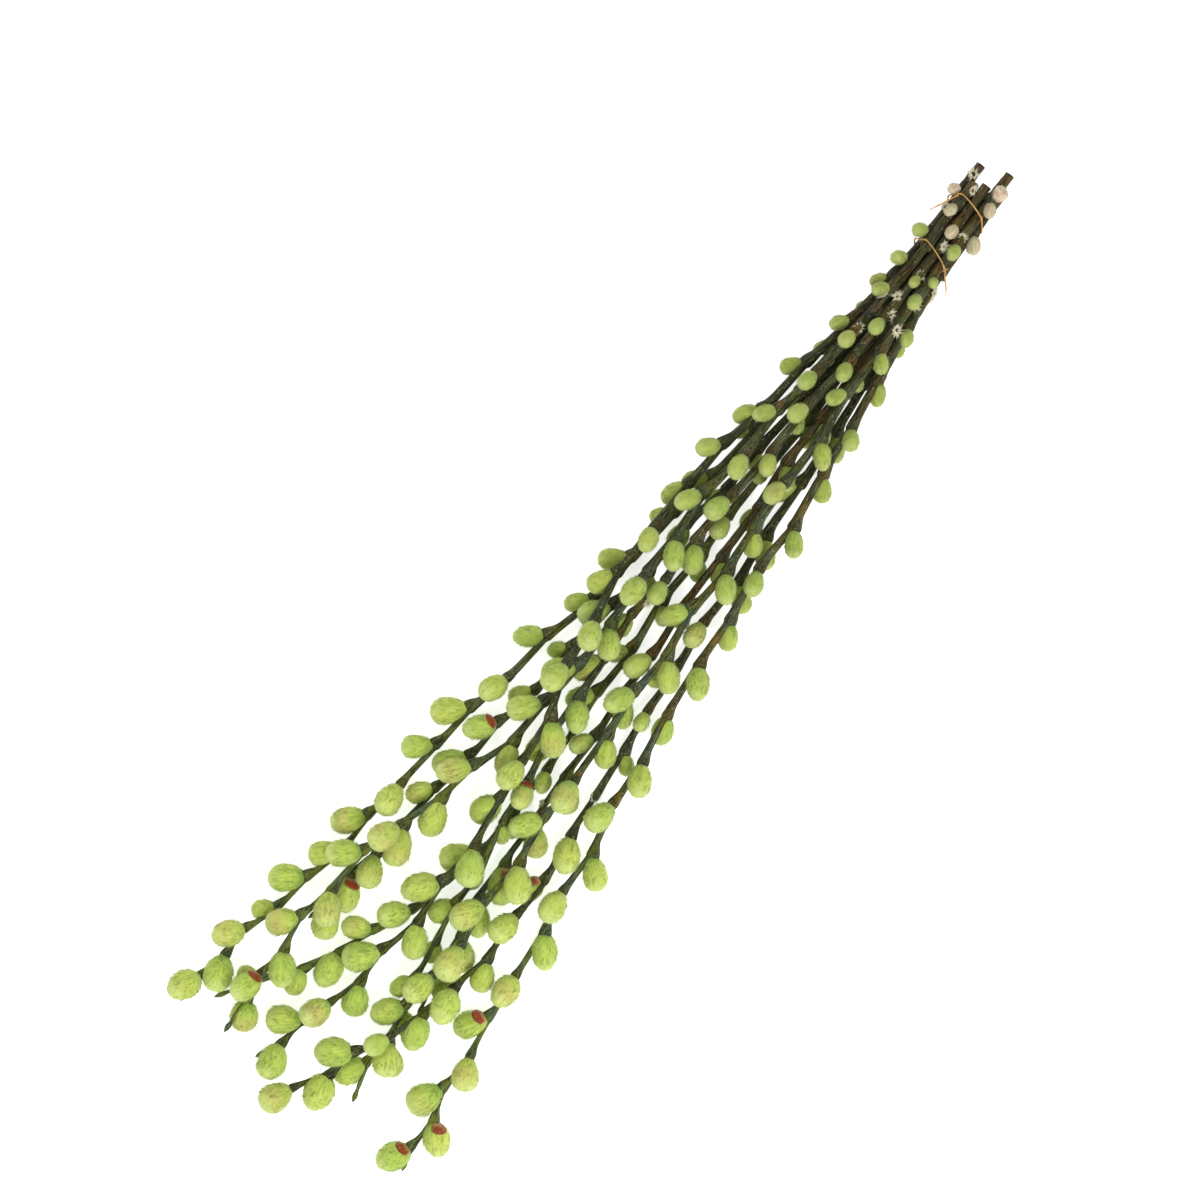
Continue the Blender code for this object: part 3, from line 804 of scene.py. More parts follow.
WOOD_PALE = (0.46, 0.36, 0.17)
WOOD_BROWN = (0.24, 0.14, 0.055)
PITH_COLOUR = (0.62, 0.53, 0.33)
BARK_EDGE = (0.07, 0.08, 0.03)
YEAR_RINGS = 9000


def cut_wood_material():
    """Sawn end of a stem: pale wood with fine rings round a paler pith, browned where it dried."""
    material, tree, shader = new_material("cut_wood", Specular_IOR_Level=0.3)
    rod = place_on_rod(tree)
    flat = scaled(tree, rod, (1, 1, 0))
    from_pith = add(tree, "VectorMath", {0: flat}, operation="LENGTH").outputs["Value"]
    dried = effect(tree, PATCHES, rod, Scale=420, Share=0.5)
    rings = add(tree, "Math", {0: product(tree, from_pith, YEAR_RINGS)}, operation="SINE")
    rings = rings.outputs[0]
    colour = layered(
        tree, WOOD_PALE,
        (WOOD_BROWN, dried),
        (WOOD_BROWN, ranged(tree, rings, 0, 1, 0, 0.35)),
        (PITH_COLOUR, ranged(tree, from_pith, 0.9 * MM, 0.5 * MM)),
        (BARK_EDGE, ranged(tree, from_pith, 2.1 * MM, 2.5 * MM)))
    finish(tree, shader, colour, ranged(tree, dried, 0, 1, 0.7, 0.9), rings, 0.5, 0.1 * MM)
    return material


def place_piece(name, mesh, materials, slot, *nodes):
    """Finished piece that rides with the bunch, and stands for the CAD nodes that are named."""
    for material in materials:
        mesh.materials.append(material)
    piece = bpy.data.objects.new(name, mesh)
    bpy.context.scene.collection.objects.link(piece)
    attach(piece, "root")
    if nodes:
        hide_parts(*nodes)


bark = bark_material()
cut_wood = cut_wood_material()
for number, twig in enumerate(TWIGS):
    place_piece(twig.name + "_bark", make_stem(number), [bark, cut_wood], "bark", twig.name)

# Ties: two lengths of golden dried straw, about 1 mm wide, each wound once round the stems near
# their cut ends, pulled tight and knotted, with one loose tail. Straw is a flat, faintly ribbed
# blade that twists as it goes round.
STRAND_SIDES = 10
STRAND_STEPS = 5
STRAND_FLAT = 0.34
HALF_TWISTS = 5
KNOT_TURNS = 1.6
KNOT_COIL = 0.50 * MM
KNOT_HALF = 0.95 * MM
KNOT_STEPS = 26
KNOT_STRAND = 0.85
TAIL_STEPS = 6
TAIL_END = 0.55
TAIL_HALF_TWISTS = 3
JOIN = 0.01 * MM
TIE_BOW = 1.4 * MM
TIE_HALF = 11 * MM
STRAW_GOLD = (0.56, 0.31, 0.075)
STRAW_PALE = (0.66, 0.43, 0.15)
STRAW_BROWN = (0.30, 0.14, 0.035)


def smooth_line(points, steps, closed):
    """Points of a smooth curve through given points, several for each of its runs."""
    count = len(points)
    ring = [points[-1], *points, points[0], points[1]] if closed else points
    first = 1 if closed else 0
    runs = count if closed else count - 1
    values = [[point[axis] for point in ring] for axis in range(3)]
    places = [first + k / steps for k in range(runs * steps + 1)]
    return [Vector([curve_value(value, place) for value in values]) for place in places]


def straw_tube(bm, points, widths, half_twists, closed):
    """Flat blade of straw along a line, turning about it as it goes."""
    rod = bm.verts.layers.float_vector["rod"]
    last = len(points) - 1
    lengths = [0]
    for a, b in zip(points, points[1:]):
        lengths.append(lengths[-1] + (b - a).length)
    frames = []
    side = Vector((1, 0, 0))
    for k in range(last + 1):
        before = points[-2] if closed and k == 0 else points[max(k - 1, 0)]
        after = points[1] if closed and k == last else points[min(k + 1, last)]
        grow = (after - before).normalized()
        side = (side - grow * side.dot(grow)).normalized()
        frames.append((side, grow.cross(side)))

    def vertex_at(vert, ring, turn):
        angle = 2 * math.pi * turn
        twist = math.pi * half_twists * ring / last
        reach = STRAND / 2 * widths[ring] * (1 - STRAND_FLAT * math.sin(angle - twist) ** 2)
        along, beside = frames[ring]
        vert.co = points[ring] + (along * math.cos(angle) + beside * math.sin(angle)) * reach
        flat = reach * math.cos(angle - twist), reach * math.sin(angle - twist)
        vert[rod] = (*flat, lengths[ring])

    rolled_grid(bm, STRAND_SIDES, last + 1, vertex_at)
    if closed:
        bmesh.ops.remove_doubles(bm, verts=bm.verts, dist=JOIN)
    else:
        ends = [edge for edge in bm.edges if edge.is_boundary]
        bmesh.ops.holes_fill(bm, edges=ends, sides=STRAND_SIDES)


def bowed(point):
    """Point of a loop, drawn towards the cut ends where it passes over the stems."""
    if point.z < TIE_MIDDLE:
        return point
    over = max(0, 1 - (point.y / TIE_HALF) ** 2)
    return point - Vector((TIE_BOW * over, 0, 0))


def make_tie(name, shape):
    """One tie as a mesh: its loop round the stems, the turns of its knot, and its tail."""
    bm = new_bmesh()
    loop = [bowed(point) for point in smooth_line(shape.loop, STRAND_STEPS, True)]
    straw_tube(bm, loop, [1] * len(loop), HALF_TWISTS, True)
    coil = []
    for k in range(KNOT_STEPS + 1):
        part = k / KNOT_STEPS
        angle = 2 * math.pi * KNOT_TURNS * part
        turn = Vector((0, math.cos(angle), math.sin(angle))) * KNOT_COIL
        coil.append(shape.knot + turn + Vector(((2 * part - 1) * KNOT_HALF, 0, 0)))
    straw_tube(bm, coil, [KNOT_STRAND] * len(coil), 0, False)
    tail = smooth_line(shape.tail, TAIL_STEPS, False)
    thin = [1 - (1 - TAIL_END) * (k / (len(tail) - 1)) ** 3 for k in range(len(tail))]
    straw_tube(bm, tail, thin, TAIL_HALF_TWISTS, False)
    bmesh.ops.recalc_face_normals(bm, faces=bm.faces)
    for face in bm.faces:
        face.smooth = len(face.verts) == 4
    return as_mesh(bm, name)


def straw_material():
    """Dried straw: golden, ribbed along its length, with paler and browner stretches."""
    material, tree, shader = new_material("straw", Specular_IOR_Level=0.45)
    rod = place_on_rod(tree)
    ribs = effect(tree, GRAIN, rod, Fineness=5200, Length=40)
    colour = layered(
        tree, STRAW_GOLD,
        (STRAW_PALE, effect(tree, PATCHES, rod, Scale=210, Share=0.42)),
        (STRAW_BROWN, effect(tree, PATCHES, rod, Scale=130, Share=0.30)),
        (STRAW_BROWN, ranged(tree, ribs, 0.5, 0.0, 0.0, 0.7)))
    finish(tree, shader, colour, ranged(tree, ribs, 0, 1, 0.65, 0.42), ribs, 0.7, 0.12 * MM)
    return material


straw = straw_material()
for tie, shape in zip(TIES, tie_shapes):
    place_piece(tie.name + "_straw", make_tie(tie.name + "_straw", shape), [straw], "strand",
                tie.name)

# Catkins: the furry flower buds of the willow, dyed lime green but for some cream ones by the cut
# ends. Each is a blunt egg of fine silky hairs that lie towards its free end, larger up the twig,
# and it grows out of its cup in the bark.
FUR_RADIUS = 6 * MM
FUR_LENGTH = 16.2 * MM
FUR_ROUND = 22
FUR_BANDS = 14
FUR_FULL = 0.97
FUR_LONG = 1.06
FUR_SHARES = (0.86, 0.80, 0.86, 0.94, 1.10)
FUR_TAPERS = (0.0, 0.17, -0.14, 0.09)
FUR_START = 0.56
FUR_END = 0.46
FUR_LUMPS = 0.06
FUR_LUMPS_SMALL = 0.16
HAIRS = 400
HAIRS_SMALL = 260
SMALL_HAIR = 1.35
HAIR_LONG = (1.6 * MM, 3.0 * MM)
HAIR_WIDE = (0.07 * MM, 0.13 * MM)
HAIR_LIFT = (8, 24)
HAIR_SWAY = 10
STRAY_SHARE = 0.04
STRAY_LIFT = 2.2
HAIR_FROM = 0.04
HAIR_STEP = 0.03
HAIR_ROOTED = 0.42
HAIR_CUT = 0.7
LUMP_SIZE = 1.7
LUMP_SHIFT = 5
SMALL_CATKIN = 4.6 * MM
REST_GAP = 0.03 * MM
CREAM_BELOW = 46 * MM
CREAM_FADES = 66 * MM
CREAM_CHANCE = 0.9
CREAM_DEPTH = (0.7, 1)
FLUSH_CHANCE = 0.25
FLUSH_DEPTH = (0.2, 0.55)
GREEN_CHANCE = 0.4
GREEN_DEPTH = (0.4, 1)
GREEN_REST = 0.15
LIE_BLEND = 0.40
FADED_SPOTS = ((5, 6.6, 4.5), (16.5, -11, 3.4))
GREEN_SPOTS = ((42.5, -11.4, 4.3), (60, -11.4, 4.5), (61, 7.2, 3.2))
EXTRA_LEAN = math.radians(50)
EXTRA_LONG = 2.2
SEAT_NEAR = 3.2 * MM
SEAT_TILT = 0.8
SEAT_DEEP = 0.9
LONGEST = max(twig.tip for twig in TWIGS)

FULLEST = FUR_START / (FUR_START + FUR_END)
FULL_THERE = FULLEST ** FUR_START * (1 - FULLEST) ** FUR_END


def fullness(place):
    """Width of a catkin as a share of its greatest, from its base at 0 to its free end at 1."""
    place = min(max(place, 0), 1)
    return place ** FUR_START * (1 - place) ** FUR_END / FULL_THERE


def fur_point(place, angle, taper):
    """Point on a catkin's body, which a taper makes wider to its free end or to its base."""
    width = FUR_RADIUS * FUR_FULL * fullness(place) * (1 + taper * (2 * place - 1))
    across = Vector((math.cos(angle), math.sin(angle), 0)) * width
    return across + Vector((0, 0, FUR_LENGTH * FUR_LONG * place))


def fur_lie(point):
    """Place on a catkin for its streaks, which run from its base to its free end."""
    width = math.hypot(point.x, point.y)
    if width < TINY:
        return Vector((0, 0, point.z))
    reach = FUR_RADIUS * min(1, width / (LIE_BLEND * FUR_RADIUS))
    return Vector((point.x / width * reach, point.y / width * reach, point.z))


def pointing(place, direction):
    """Matrix that turns an upright shape to a direction and sets it in a place."""
    turn = direction.to_track_quat("Z", "Y").to_matrix().to_4x4()
    return Matrix.Translation(place) @ turn


def add_point(bm, root, along, length, width, rooted):
    """Thin three-sided point, its middle off its root by a share of its length."""
    matrix = pointing(root + along * length * rooted, along)
    return bmesh.ops.create_cone(bm, cap_ends=True, segments=3, radius1=width, radius2=0,
                                 depth=length, matrix=matrix)["verts"]


def fur_template(seed, taper, hairs, lumps, longer):
    """One catkin standing on its base: a soft body, and thin hairs lying along it."""
    draw = random.Random(seed)
    bm = new_bmesh("fur", "dye")
    lie = bm.verts.layers.float_vector["rod"]
    fur = bm.verts.layers.float_color["fur"]
    bmesh.ops.create_uvsphere(bm, u_segments=FUR_ROUND, v_segments=FUR_BANDS, radius=1)
    for vert in bm.verts:
        place = (vert.co.z + 1) / 2
        angle = math.atan2(vert.co.y, vert.co.x)
        shift = Vector((seed * LUMP_SHIFT, 0, 0))
        lump = 1 + lumps * noise.noise(vert.co * LUMP_SIZE + shift)
        point = fur_point(place, angle, taper)
        vert.co = Vector((point.x * lump, point.y * lump, point.z))
        vert[lie] = fur_lie(vert.co)
        vert[fur] = (place, 0, 0, 1)
    for _ in range(hairs):
        place = draw.uniform(HAIR_FROM, 1)
        while draw.random() > fullness(place):
            place = draw.uniform(HAIR_FROM, 1)
        angle = draw.uniform(0, 2 * math.pi)
        root = fur_point(place, angle, taper)
        before = fur_point(place - HAIR_STEP, angle, taper)
        ahead = (fur_point(min(place + HAIR_STEP, 1), angle, taper) - before).normalized()
        round_it = Vector((-math.sin(angle), math.cos(angle), 0))
        outward = round_it.cross(ahead)
        lift = math.radians(draw.uniform(*HAIR_LIFT)) * longer
        if draw.random() < STRAY_SHARE:
            lift *= STRAY_LIFT
        sway = math.tan(math.radians(draw.uniform(-HAIR_SWAY, HAIR_SWAY)))
        along = (ahead * math.cos(lift) + outward * math.sin(lift) + round_it * sway).normalized()
        length = draw.uniform(*HAIR_LONG) * longer
        if (root + along * length).z > FUR_LENGTH:
            length *= HAIR_CUT
        width = draw.uniform(*HAIR_WIDE) * longer
        for vert in add_point(bm, root, along, length, width, HAIR_ROOTED):
            vert[lie] = fur_lie(vert.co)
            is_tip = (vert.co - root).dot(along) > length / 2
            vert[fur] = (place, 1 if is_tip else 0, 0, 1)
    for face in bm.faces:
        face.smooth = True
    return as_mesh(bm, f"fur_kind_{seed}")


def add_catkin(bm, catkin, kinds, draw, cream):
    """One catkin set in its place, with its own shade of dye, pressed flat on the table."""
    before = len(bm.verts)
    bm.from_mesh(draw.choice(kinds))
    bm.verts.ensure_lookup_table()
    fur = bm.verts.layers.float_color["fur"]
    dye = bm.verts.layers.float_color["dye"]
    share = float(np.interp(catkin.place, CATKIN_PLACES, FUR_SHARES))
    wide = catkin.radius * share / FUR_RADIUS
    size = Matrix.Diagonal((wide, wide, catkin.length / FUR_LENGTH, 1))
    spin = Matrix.Rotation(draw.uniform(0, 2 * math.pi), 4, "Z")
    matrix = pointing(catkin.base, catkin.axis) @ size @ spin
    flush = draw.uniform(*FLUSH_DEPTH) if draw.random() < FLUSH_CHANCE else 0
    green = draw.uniform(*GREEN_DEPTH) if draw.random() < GREEN_CHANCE else GREEN_REST
    tone = draw.random()
    for vert in bm.verts[before:]:
        vert.co = matrix @ vert.co
        vert.co.z = max(vert.co.z, REST_GAP)
        vert[dye] = (cream, flush, green, tone)
        vert[fur] = (vert[fur][0], vert[fur][1], catkin.place / LONGEST, 1)


def stem_side_at(number, distance, out):
    """Point on the surface of a stem, on the side that faces a direction."""
    middle, grow, up, across = ring_frame(paths[number], distance)
    out = (out - grow * out.dot(grow)).normalized()
    return middle + out * stem_radius(TWIGS[number], distance) * SEAT_DEEP, out


def seat_at(s, t):
    """Uppermost stem at a spot in the view, the seat on it and the side that the seat faces."""
    distance = s * MM
    spot = t * MM - MIDDLE_Y
    middles = [path_at(path, distance)[0] for path in paths]
    reach = max(SEAT_NEAR, min(abs(middle.y - spot) for middle in middles))
    near = [k for k, middle in enumerate(middles) if abs(middle.y - spot) <= reach]
    number = max(near, key=lambda k: middles[k].z)
    aside = (spot - middles[number].y) / stem_radius(TWIGS[number], distance)
    return number, *stem_side_at(number, distance, Vector((0, aside * SEAT_TILT, 1)))


def extra_catkins(spots):
    """Catkins near the ties that the rule doesn't give, each on the uppermost stem at its spot."""
    extra = []
    for s, t, radius in spots:
        number, seat, out = seat_at(s, t)
        axis = (out + Vector((math.cos(EXTRA_LEAN), 0, 0))).normalized()
        length = radius * MM * EXTRA_LONG
        extra.append(Catkin(number, s * MM, seat, axis, out, length, radius * MM))
    return extra


def make_fur(number, kinds, small_kinds):
    """All catkins of one twig as a mesh."""
    draw = random.Random(SEED * 100 + number)
    bm = bmesh.new()
    for catkin in sorted((c for c in catkins if c.twig == number), key=lambda c: c.place):
        some = small_kinds if catkin.radius < SMALL_CATKIN else kinds
        chance = np.interp(catkin.place, (CREAM_BELOW, CREAM_FADES), (CREAM_CHANCE, 0))
        cream = draw.uniform(*CREAM_DEPTH) if draw.random() < chance else 0
        add_catkin(bm, catkin, some, draw, cream)
    for spots, cream in ((FADED_SPOTS, 1), (GREEN_SPOTS, 0)):
        for catkin in extra_catkins(spots):
            if catkin.twig == number:
                add_catkin(bm, catkin, small_kinds, draw, cream)
    return as_mesh(bm, TWIGS[number].name + "_catkins")


LIME = (0.440, 0.590, 0.088)
LIME_DEEP = (0.270, 0.400, 0.040)
LIME_YELLOW = (0.560, 0.640, 0.110)
LIME_DULL = (0.170, 0.190, 0.045)
BASE_GREEN = (0.190, 0.350, 0.024)
SILK_PALE = (0.600, 0.680, 0.250)
FLUSH_TAN = (0.540, 0.400, 0.150)
CREAM = (0.690, 0.610, 0.420)
CREAM_ROSE = (0.640, 0.440, 0.310)
CREAM_SHADE = (0.330, 0.250, 0.160)


def fur_material():
    """Dyed silky fur: lime with long streaks, pale at the free end, green or flushed in places."""
    material, tree, shader = new_material(
        "catkin_fur", Sheen_Weight=0.35, Sheen_Roughness=0.45, Sheen_Tint=(0.9, 1.0, 0.75, 1),
        Specular_IOR_Level=0.2)
    place, hair, along, _ = parts_of(tree, "fur")
    cream, flush, green, tone = parts_of(tree, "dye")
    own = add(tree, "CombineXYZ", {0: tone, 1: flush, 2: green})
    moved = add(tree, "VectorMath", {0: place_on_rod(tree), 1: own.outputs[0]}, operation="ADD")
    moved = moved.outputs[0]
    streaks = effect(tree, GRAIN, moved, Fineness=2300, Length=22)
    fine = effect(tree, GRAIN, moved, Fineness=4200, Length=26)
    cloud = effect(tree, PATCHES, moved, Scale=120, Share=0.5)
    blush = effect(tree, PATCHES, moved, Scale=80, Share=0.62)
    middle = product(tree, ranged(tree, place, 0.30, 0.60), ranged(tree, place, 1.0, 0.8))
    colour = layered(
        tree, LIME,
        (LIME_YELLOW, tone),
        (LIME_DEEP, ranged(tree, cloud, 0, 1, 0, 0.22)),
        (LIME_DEEP, product(tree, ranged(tree, streaks, 0.60, 0.0, 0.0, 0.6),
                            ranged(tree, place, 0.85, 0.15, 0.0, 1.0))),
        (FLUSH_TAN, product(tree, product(tree, blush, middle), flush)),
        (BASE_GREEN, product(tree, ranged(tree, place, 0.36, 0.05), green)),
        (SILK_PALE, ranged(tree, place, 0.62, 1.0, 0.0, 0.6)),
        (SILK_PALE, ranged(tree, fine, 0.5, 1.0, 0.0, 0.45)),
        (LIME_DEEP, product(tree, ranged(tree, fine, 0.45, 0.0, 0.0, 0.5),
                            ranged(tree, place, 0.80, 0.20))),
        (SILK_PALE, ranged(tree, hair, 0.1, 1.0, 0.0, 0.4)),
        (LIME_DULL, ranged(tree, along, 0.85, 0.1, 0.0, 0.45)))
    wool = layered(
        tree, CREAM,
        (CREAM_ROSE, effect(tree, PATCHES, moved, Scale=170, Share=0.45)),
        (CREAM_SHADE, ranged(tree, streaks, 0.58, 0.0, 0.0, 0.9)))
    colour = mixed(tree, cream, colour, wool)
    relief = product(tree, total(tree, streaks, fine), ranged(tree, place, 0.97, 0.70))
    finish(tree, shader, colour, ranged(tree, fine, 0, 1, 0.95, 0.75), relief, 0.6, 0.14 * MM)
    return material


catkin_fur = fur_material()
thinned = 1
fur_kinds = []
small_fur_kinds = []
for kind, taper in enumerate(FUR_TAPERS):
    fur_kinds.append(fur_template(kind, taper, HAIRS // thinned, FUR_LUMPS, 1))
    small_fur_kinds.append(fur_template(len(FUR_TAPERS) + kind, taper / 2, HAIRS_SMALL // thinned,
                                        FUR_LUMPS_SMALL, SMALL_HAIR))
for number, twig in enumerate(TWIGS):
    place_piece(twig.name + "_catkins", make_fur(number, fur_kinds, small_fur_kinds), [catkin_fur],
                "catkin", twig.name)

# Bud scales: a catkin bursts out of one thin shiny scale, which soon drops. A few are still on,
# red-brown with a tan edge, gripping the outer side of the catkin's base like a thumbnail.
SCALE_SPOTS = ((420, 13), (563, -46), (538, 64), (495, 59))
SCALE_CHANCE = 0.03
SCALE_HALF_TURN = 52
SCALE_FROM = 0.01
SCALE_TO = 0.37
SCALE_ABOVE = 1.10
SCALE_THICK = 0.22 * MM
SCALE_GAP = 0.1 * MM
SCALE_POINTED = 0.45
SCALE_UPWARDS = 0.5
FACING_UP = -0.15
SCALE_COLUMNS = 12
SCALE_ROWS = 8
SCALE_RED = (0.260, 0.042, 0.008)
SCALE_DARK = (0.100, 0.026, 0.008)
SCALE_EDGE = (0.430, 0.270, 0.100)


def wears_scale():
    """Catkins that still have their bud scale: those that show in the view, and some others."""
    draw = random.Random(SEED)
    chosen = []
    for s, t in SCALE_SPOTS:
        spot = Vector((s * MM - MIDDLE_X, t * MM - MIDDLE_Y))
        facing = [c for c in catkins if c.axis.z > FACING_UP]
        chosen.append(min(facing, key=lambda c: (c.base.xy - spot).length))
    chosen += [c for c in catkins if draw.random() < SCALE_CHANCE and c not in chosen]
    return chosen


def add_scale(bm, catkin):
    """Thin curved scale over the outer side of a catkin's base, pointed at its free edge."""
    rod = bm.verts.layers.float_vector["rod"]
    edge = bm.verts.layers.float_color["edge"]
    side = catkin.out.lerp(Vector((0, 0, 1)), SCALE_UPWARDS)
    side = (side - catkin.axis * side.dot(catkin.axis)).normalized()
    beside = catkin.axis.cross(side)
    made = bmesh.ops.create_grid(bm, x_segments=SCALE_COLUMNS, y_segments=SCALE_ROWS, size=0.5)
    for vert in made["verts"]:
        across = vert.co.x * 2
        up = vert.co.y + 0.5
        reach = 1 - SCALE_POINTED * across * across
        place = SCALE_FROM + (SCALE_TO - SCALE_FROM) * up * reach
        angle = math.radians(SCALE_HALF_TURN * across)
        width = catkin.radius * fullness(place) * SCALE_ABOVE + SCALE_GAP
        point = side * math.cos(angle) + beside * math.sin(angle)
        vert.co = catkin.base + point * width + catkin.axis * catkin.length * place
        vert.co.z = max(vert.co.z, REST_GAP)
        vert[rod] = (width * math.sin(angle), 0, catkin.length * place)
        vert[edge] = (up, abs(across), 0, 1)
    return list({face for vert in made["verts"] for face in vert.link_faces})


def make_scales():
    """All bud scales as a mesh."""
    bm = new_bmesh("edge")
    for catkin in wears_scale():
        faces = add_scale(bm, catkin)
        bmesh.ops.recalc_face_normals(bm, faces=faces)
        centre = catkin.base + catkin.axis * catkin.length * SCALE_TO / 2
        if sum(face.normal.dot(face.calc_center_median() - centre) for face in faces) < 0:
            bmesh.ops.reverse_faces(bm, faces=faces)
        bmesh.ops.solidify(bm, geom=faces, thickness=SCALE_THICK)
    for face in bm.faces:
        face.smooth = True
    return as_mesh(bm, "bud_scales")


def scale_material():
    """Shiny red-brown scale, ribbed along, tan where its edge has dried."""
    material, tree, shader = new_material("bud_scale", Specular_IOR_Level=0.3, Coat_Weight=0.1,
                                          Coat_Roughness=0.35)
    rod = place_on_rod(tree)
    up, beside, _, _ = parts_of(tree, "edge")
    ribs = effect(tree, GRAIN, rod, Fineness=2600, Length=9)
    colour = layered(
        tree, SCALE_RED,
        (SCALE_DARK, effect(tree, PATCHES, rod, Scale=300, Share=0.4)),
        (SCALE_DARK, ranged(tree, ribs, 0.4, 0.0, 0, 0.6)),
        (SCALE_EDGE, ranged(tree, up, 0.48, 0.10)),
        (SCALE_EDGE, ranged(tree, beside, 0.85, 1.0, 0, 0.6)))
    finish(tree, shader, colour, ranged(tree, ribs, 0, 1, 0.5, 0.3), ribs, 0.5, 0.1 * MM)
    return material


place_piece("bud_scales", make_scales(), [scale_material()], "bark")

# Tufts: where a catkin has broken off, its cup keeps a ragged star of pale fluff round a dark
# hollow. Most are near the ties, where the stems rub against each other.
TUFT_SPOTS = ((64, 1), (82, -10), (79, -3), (77, 9), (66, 15), (88, 2), (93, 9), (45, 2),
              (103, -8), (275, -7), (387, 8), (14, -3), (28, -10), (7, -9), (36, 6))
TUFT_RADIUS = 1.25 * MM
TUFT_TALL = 1.3 * MM
TUFT_SIZES = (1.0, 1.5)
TUFT_LOWEST = 0.45
TUFT_SIDES = 18
TUFT_RIM = 1.30
RIM_FLARE = (0.5, 1.5)
RIM_RAGGED = (-0.7 * MM, 0.3 * MM)
RIM_WIDE = 0.62 * MM
HOLLOW_WALL = 0.15 * MM
TUFT_HOLLOW = 1.0 * MM
HOLLOW_ASIDE = 0.35 * MM
TUFT_POINTS = 34
POINT_ASTRAY = 2.5
POINT_RISE = (0.0, 0.8)
POINT_ROOT = 0.95
POINT_HIGH = (0.1, 0.5)
POINT_LONG = (0.7 * MM, 2.7 * MM)
POINT_WIDE = 0.34 * MM
POINT_ROOTED = 0.4
TUFT_PALE = (0.720, 0.680, 0.500)
TUFT_GREEN = (0.400, 0.400, 0.200)
TUFT_HOLE = (0.025, 0.022, 0.012)


def tuft_seats():
    """Seats of the tufts: the uppermost stem at each spot, and the cups that hold no catkin."""
    seats = [seat_at(s, t)[1:] for s, t in TUFT_SPOTS]
    for number, node in bare_nodes:
        out = turned(node.up, node.across, node.turn)
        if out.z > TUFT_LOWEST:
            seats.append(stem_side_at(number, node.place, out))
    return seats


def add_tuft(bm, seat, out, draw):
    """Small cup with a flared ragged rim, a dark hollow and short points of fluff."""
    fluff = bm.verts.layers.float_color["fluff"]
    rod = bm.verts.layers.float_vector["rod"]
    size = draw.uniform(*TUFT_SIZES)
    made = bmesh.ops.create_cone(bm, cap_ends=True, segments=TUFT_SIDES, radius1=TUFT_RADIUS * size,
                                 radius2=TUFT_RADIUS * TUFT_RIM * size, depth=TUFT_TALL)["verts"]
    lid = max({face for vert in made for face in vert.link_faces},
              key=lambda face: face.calc_center_median().z)
    rim = set(lid.verts)
    for vert in rim:
        flare = draw.uniform(*RIM_FLARE)
        vert.co.x *= flare
        vert.co.y *= flare
        vert.co.z += draw.uniform(*RIM_RAGGED)
    bmesh.ops.inset_individual(bm, faces=[lid], thickness=RIM_WIDE * size)
    bmesh.ops.inset_individual(bm, faces=[lid], thickness=HOLLOW_WALL * size, depth=-TUFT_HOLLOW)
    hollow = set(lid.verts)
    aside = Vector((draw.uniform(-1, 1), draw.uniform(-1, 1), 0)) * HOLLOW_ASIDE * size
    bmesh.ops.translate(bm, vec=aside, verts=list(hollow))
    body = {vert for start in made for face in start.link_faces for vert in face.verts} | hollow
    body |= {vert for start in hollow for face in start.link_faces for vert in face.verts}
    for vert in body:
        vert[fluff] = (1 if vert in hollow else 0, 0, 0, 1)
        vert[rod] = vert.co
    for k in range(TUFT_POINTS):
        astray = draw.uniform(-POINT_ASTRAY, POINT_ASTRAY)
        angle = 2 * math.pi * (k + astray) / TUFT_POINTS
        flat = Vector((math.cos(angle), math.sin(angle), 0))
        along = (flat + Vector((0, 0, draw.uniform(*POINT_RISE)))).normalized()
        root = flat * TUFT_RADIUS * size * POINT_ROOT
        root.z = TUFT_TALL * draw.uniform(*POINT_HIGH)
        length = draw.uniform(*POINT_LONG) * size
        point = add_point(bm, root, along, length, POINT_WIDE, POINT_ROOTED)
        for vert in point:
            vert[fluff] = (0, 1, 0, 1)
            vert[rod] = vert.co
        body.update(point)
    bmesh.ops.transform(bm, matrix=pointing(seat, out), verts=list(body))
    for vert in body:
        vert.co.z = max(vert.co.z, REST_GAP)


def make_tufts():
    """All tufts as a mesh."""
    draw = random.Random(SEED)
    bm = new_bmesh("fluff")
    for seat, out in tuft_seats():
        add_tuft(bm, seat, out, draw)
    return as_mesh(bm, "tufts")


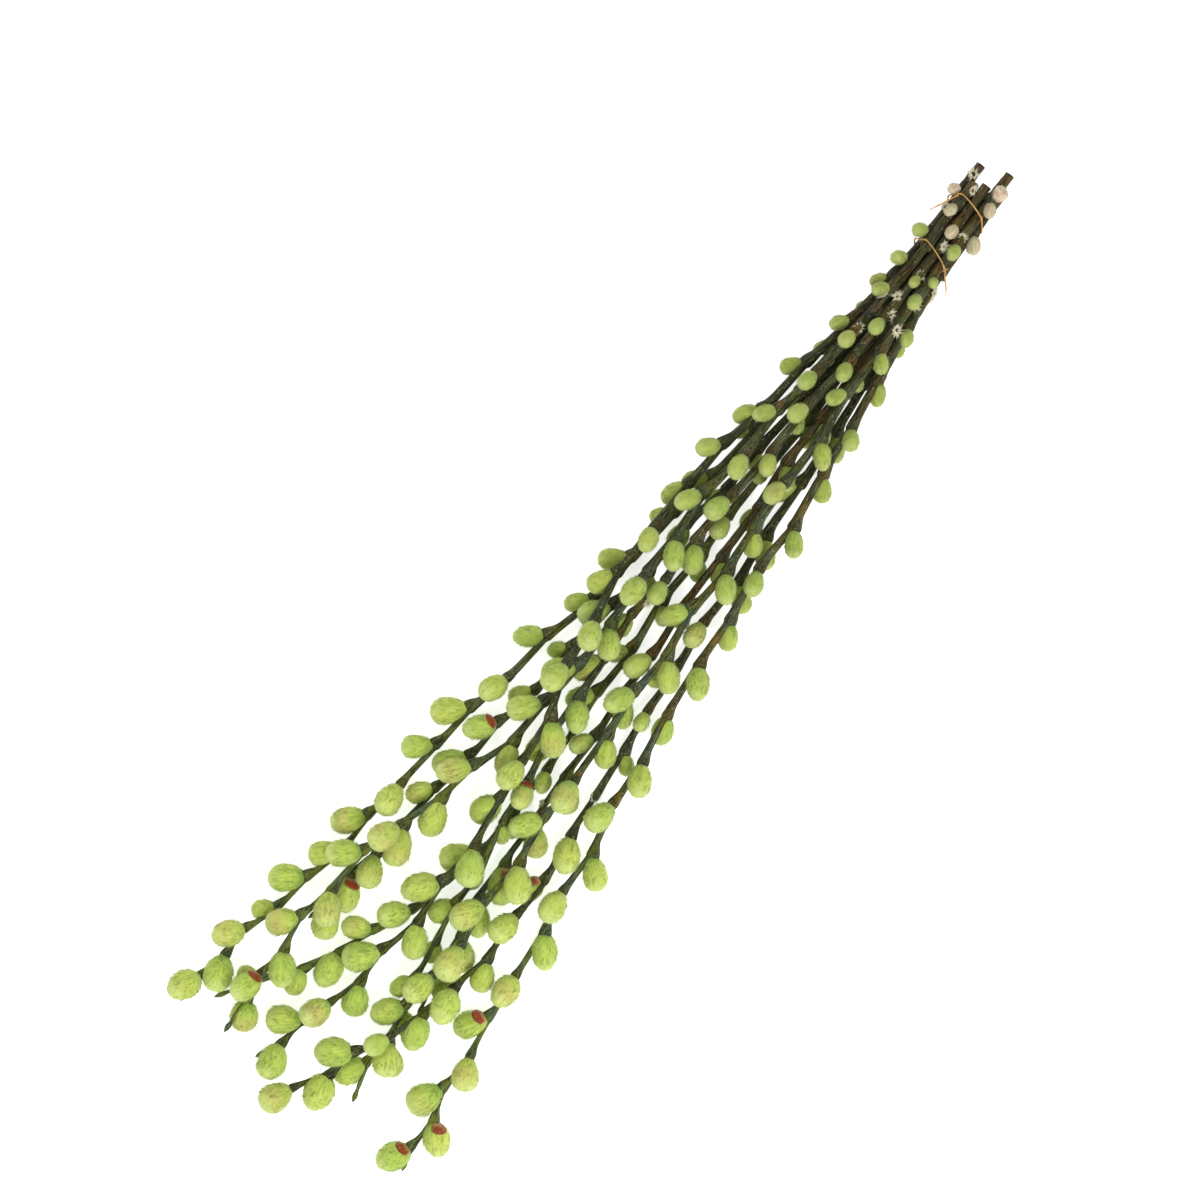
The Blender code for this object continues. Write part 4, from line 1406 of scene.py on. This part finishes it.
def tuft_material():
    """Pale fluff, greener in its folds, round a dark hollow."""
    material, tree, shader = new_material("tuft", Sheen_Weight=0.3, Sheen_Roughness=0.5,
                                          Specular_IOR_Level=0.15)
    hollow, point, _, _ = parts_of(tree, "fluff")
    lines = effect(tree, GRAIN, place_on_rod(tree), Fineness=3000, Length=3)
    colour = layered(
        tree, TUFT_PALE,
        (TUFT_GREEN, ranged(tree, lines, 0.7, 0.0)),
        (TUFT_PALE, ranged(tree, point, 0.5, 1.0, 0, 0.6)),
        (TUFT_HOLE, ranged(tree, hollow, 0.15, 0.75)))
    finish(tree, shader, colour, ranged(tree, lines, 0, 1, 0.95, 0.8), lines, 0.6, 0.15 * MM)
    return material


place_piece("tufts", make_tufts(), [tuft_material()], "catkin")

# Table and light: a plain pale matt table top and soft studio light, mostly from above, as over a
# light box, with one broad lamp towards the upper left of the view.
TABLE_SIZE = 6.0
TABLE_COLOUR = (0.86, 0.86, 0.85)
TABLE_PALER = (0.88, 0.88, 0.87)
TABLE_ROUGHNESS = 0.9
TABLE_GLOW = 0.65
SKY_STRENGTH = 0.66
LAMPS = (("lamp_key", (0.35, 0.9, 1.5), 1.1, 19.5), ("lamp_fill", (-0.9, -0.7, 1.3), 1.4, 6.0))

bm = bmesh.new()
bmesh.ops.create_grid(bm, x_segments=1, y_segments=1, size=TABLE_SIZE / 2)
table = bpy.data.objects.new("table", as_mesh(bm, "table"))
bpy.context.scene.collection.objects.link(table)
table_paint, table_tree, table_shader = new_material(
    "table_paint", Specular_IOR_Level=0.2, Roughness=TABLE_ROUGHNESS, Emission_Color=(1, 1, 1, 1),
    Emission_Strength=TABLE_GLOW)
where = add(table_tree, "TexCoord").outputs["Object"]
haze = effect(table_tree, PATCHES, where, Scale=6, Share=0.5)
table_tree.links.new(mixed(table_tree, haze, TABLE_COLOUR, TABLE_PALER),
                     table_shader.inputs["Base Color"])
table.data.materials.append(table_paint)

sky = bpy.data.worlds.new("sky")
sky.use_nodes = True
glow = sky.node_tree.nodes["Background"]
glow.inputs["Color"].default_value = (1, 1, 1, 1)
glow.inputs["Strength"].default_value = SKY_STRENGTH
bpy.context.scene.world = sky
for name, place, width, power in LAMPS:
    light = bpy.data.lights.new(name, "AREA")
    light.shape = "DISK"
    light.size = width
    light.energy = power
    lamp = bpy.data.objects.new(name, light)
    lamp.location = place
    lamp.rotation_euler = (-Vector(place)).to_track_quat("-Z", "Y").to_euler()
    bpy.context.scene.collection.objects.link(lamp)
bpy.context.scene.view_settings.view_transform = "Standard"
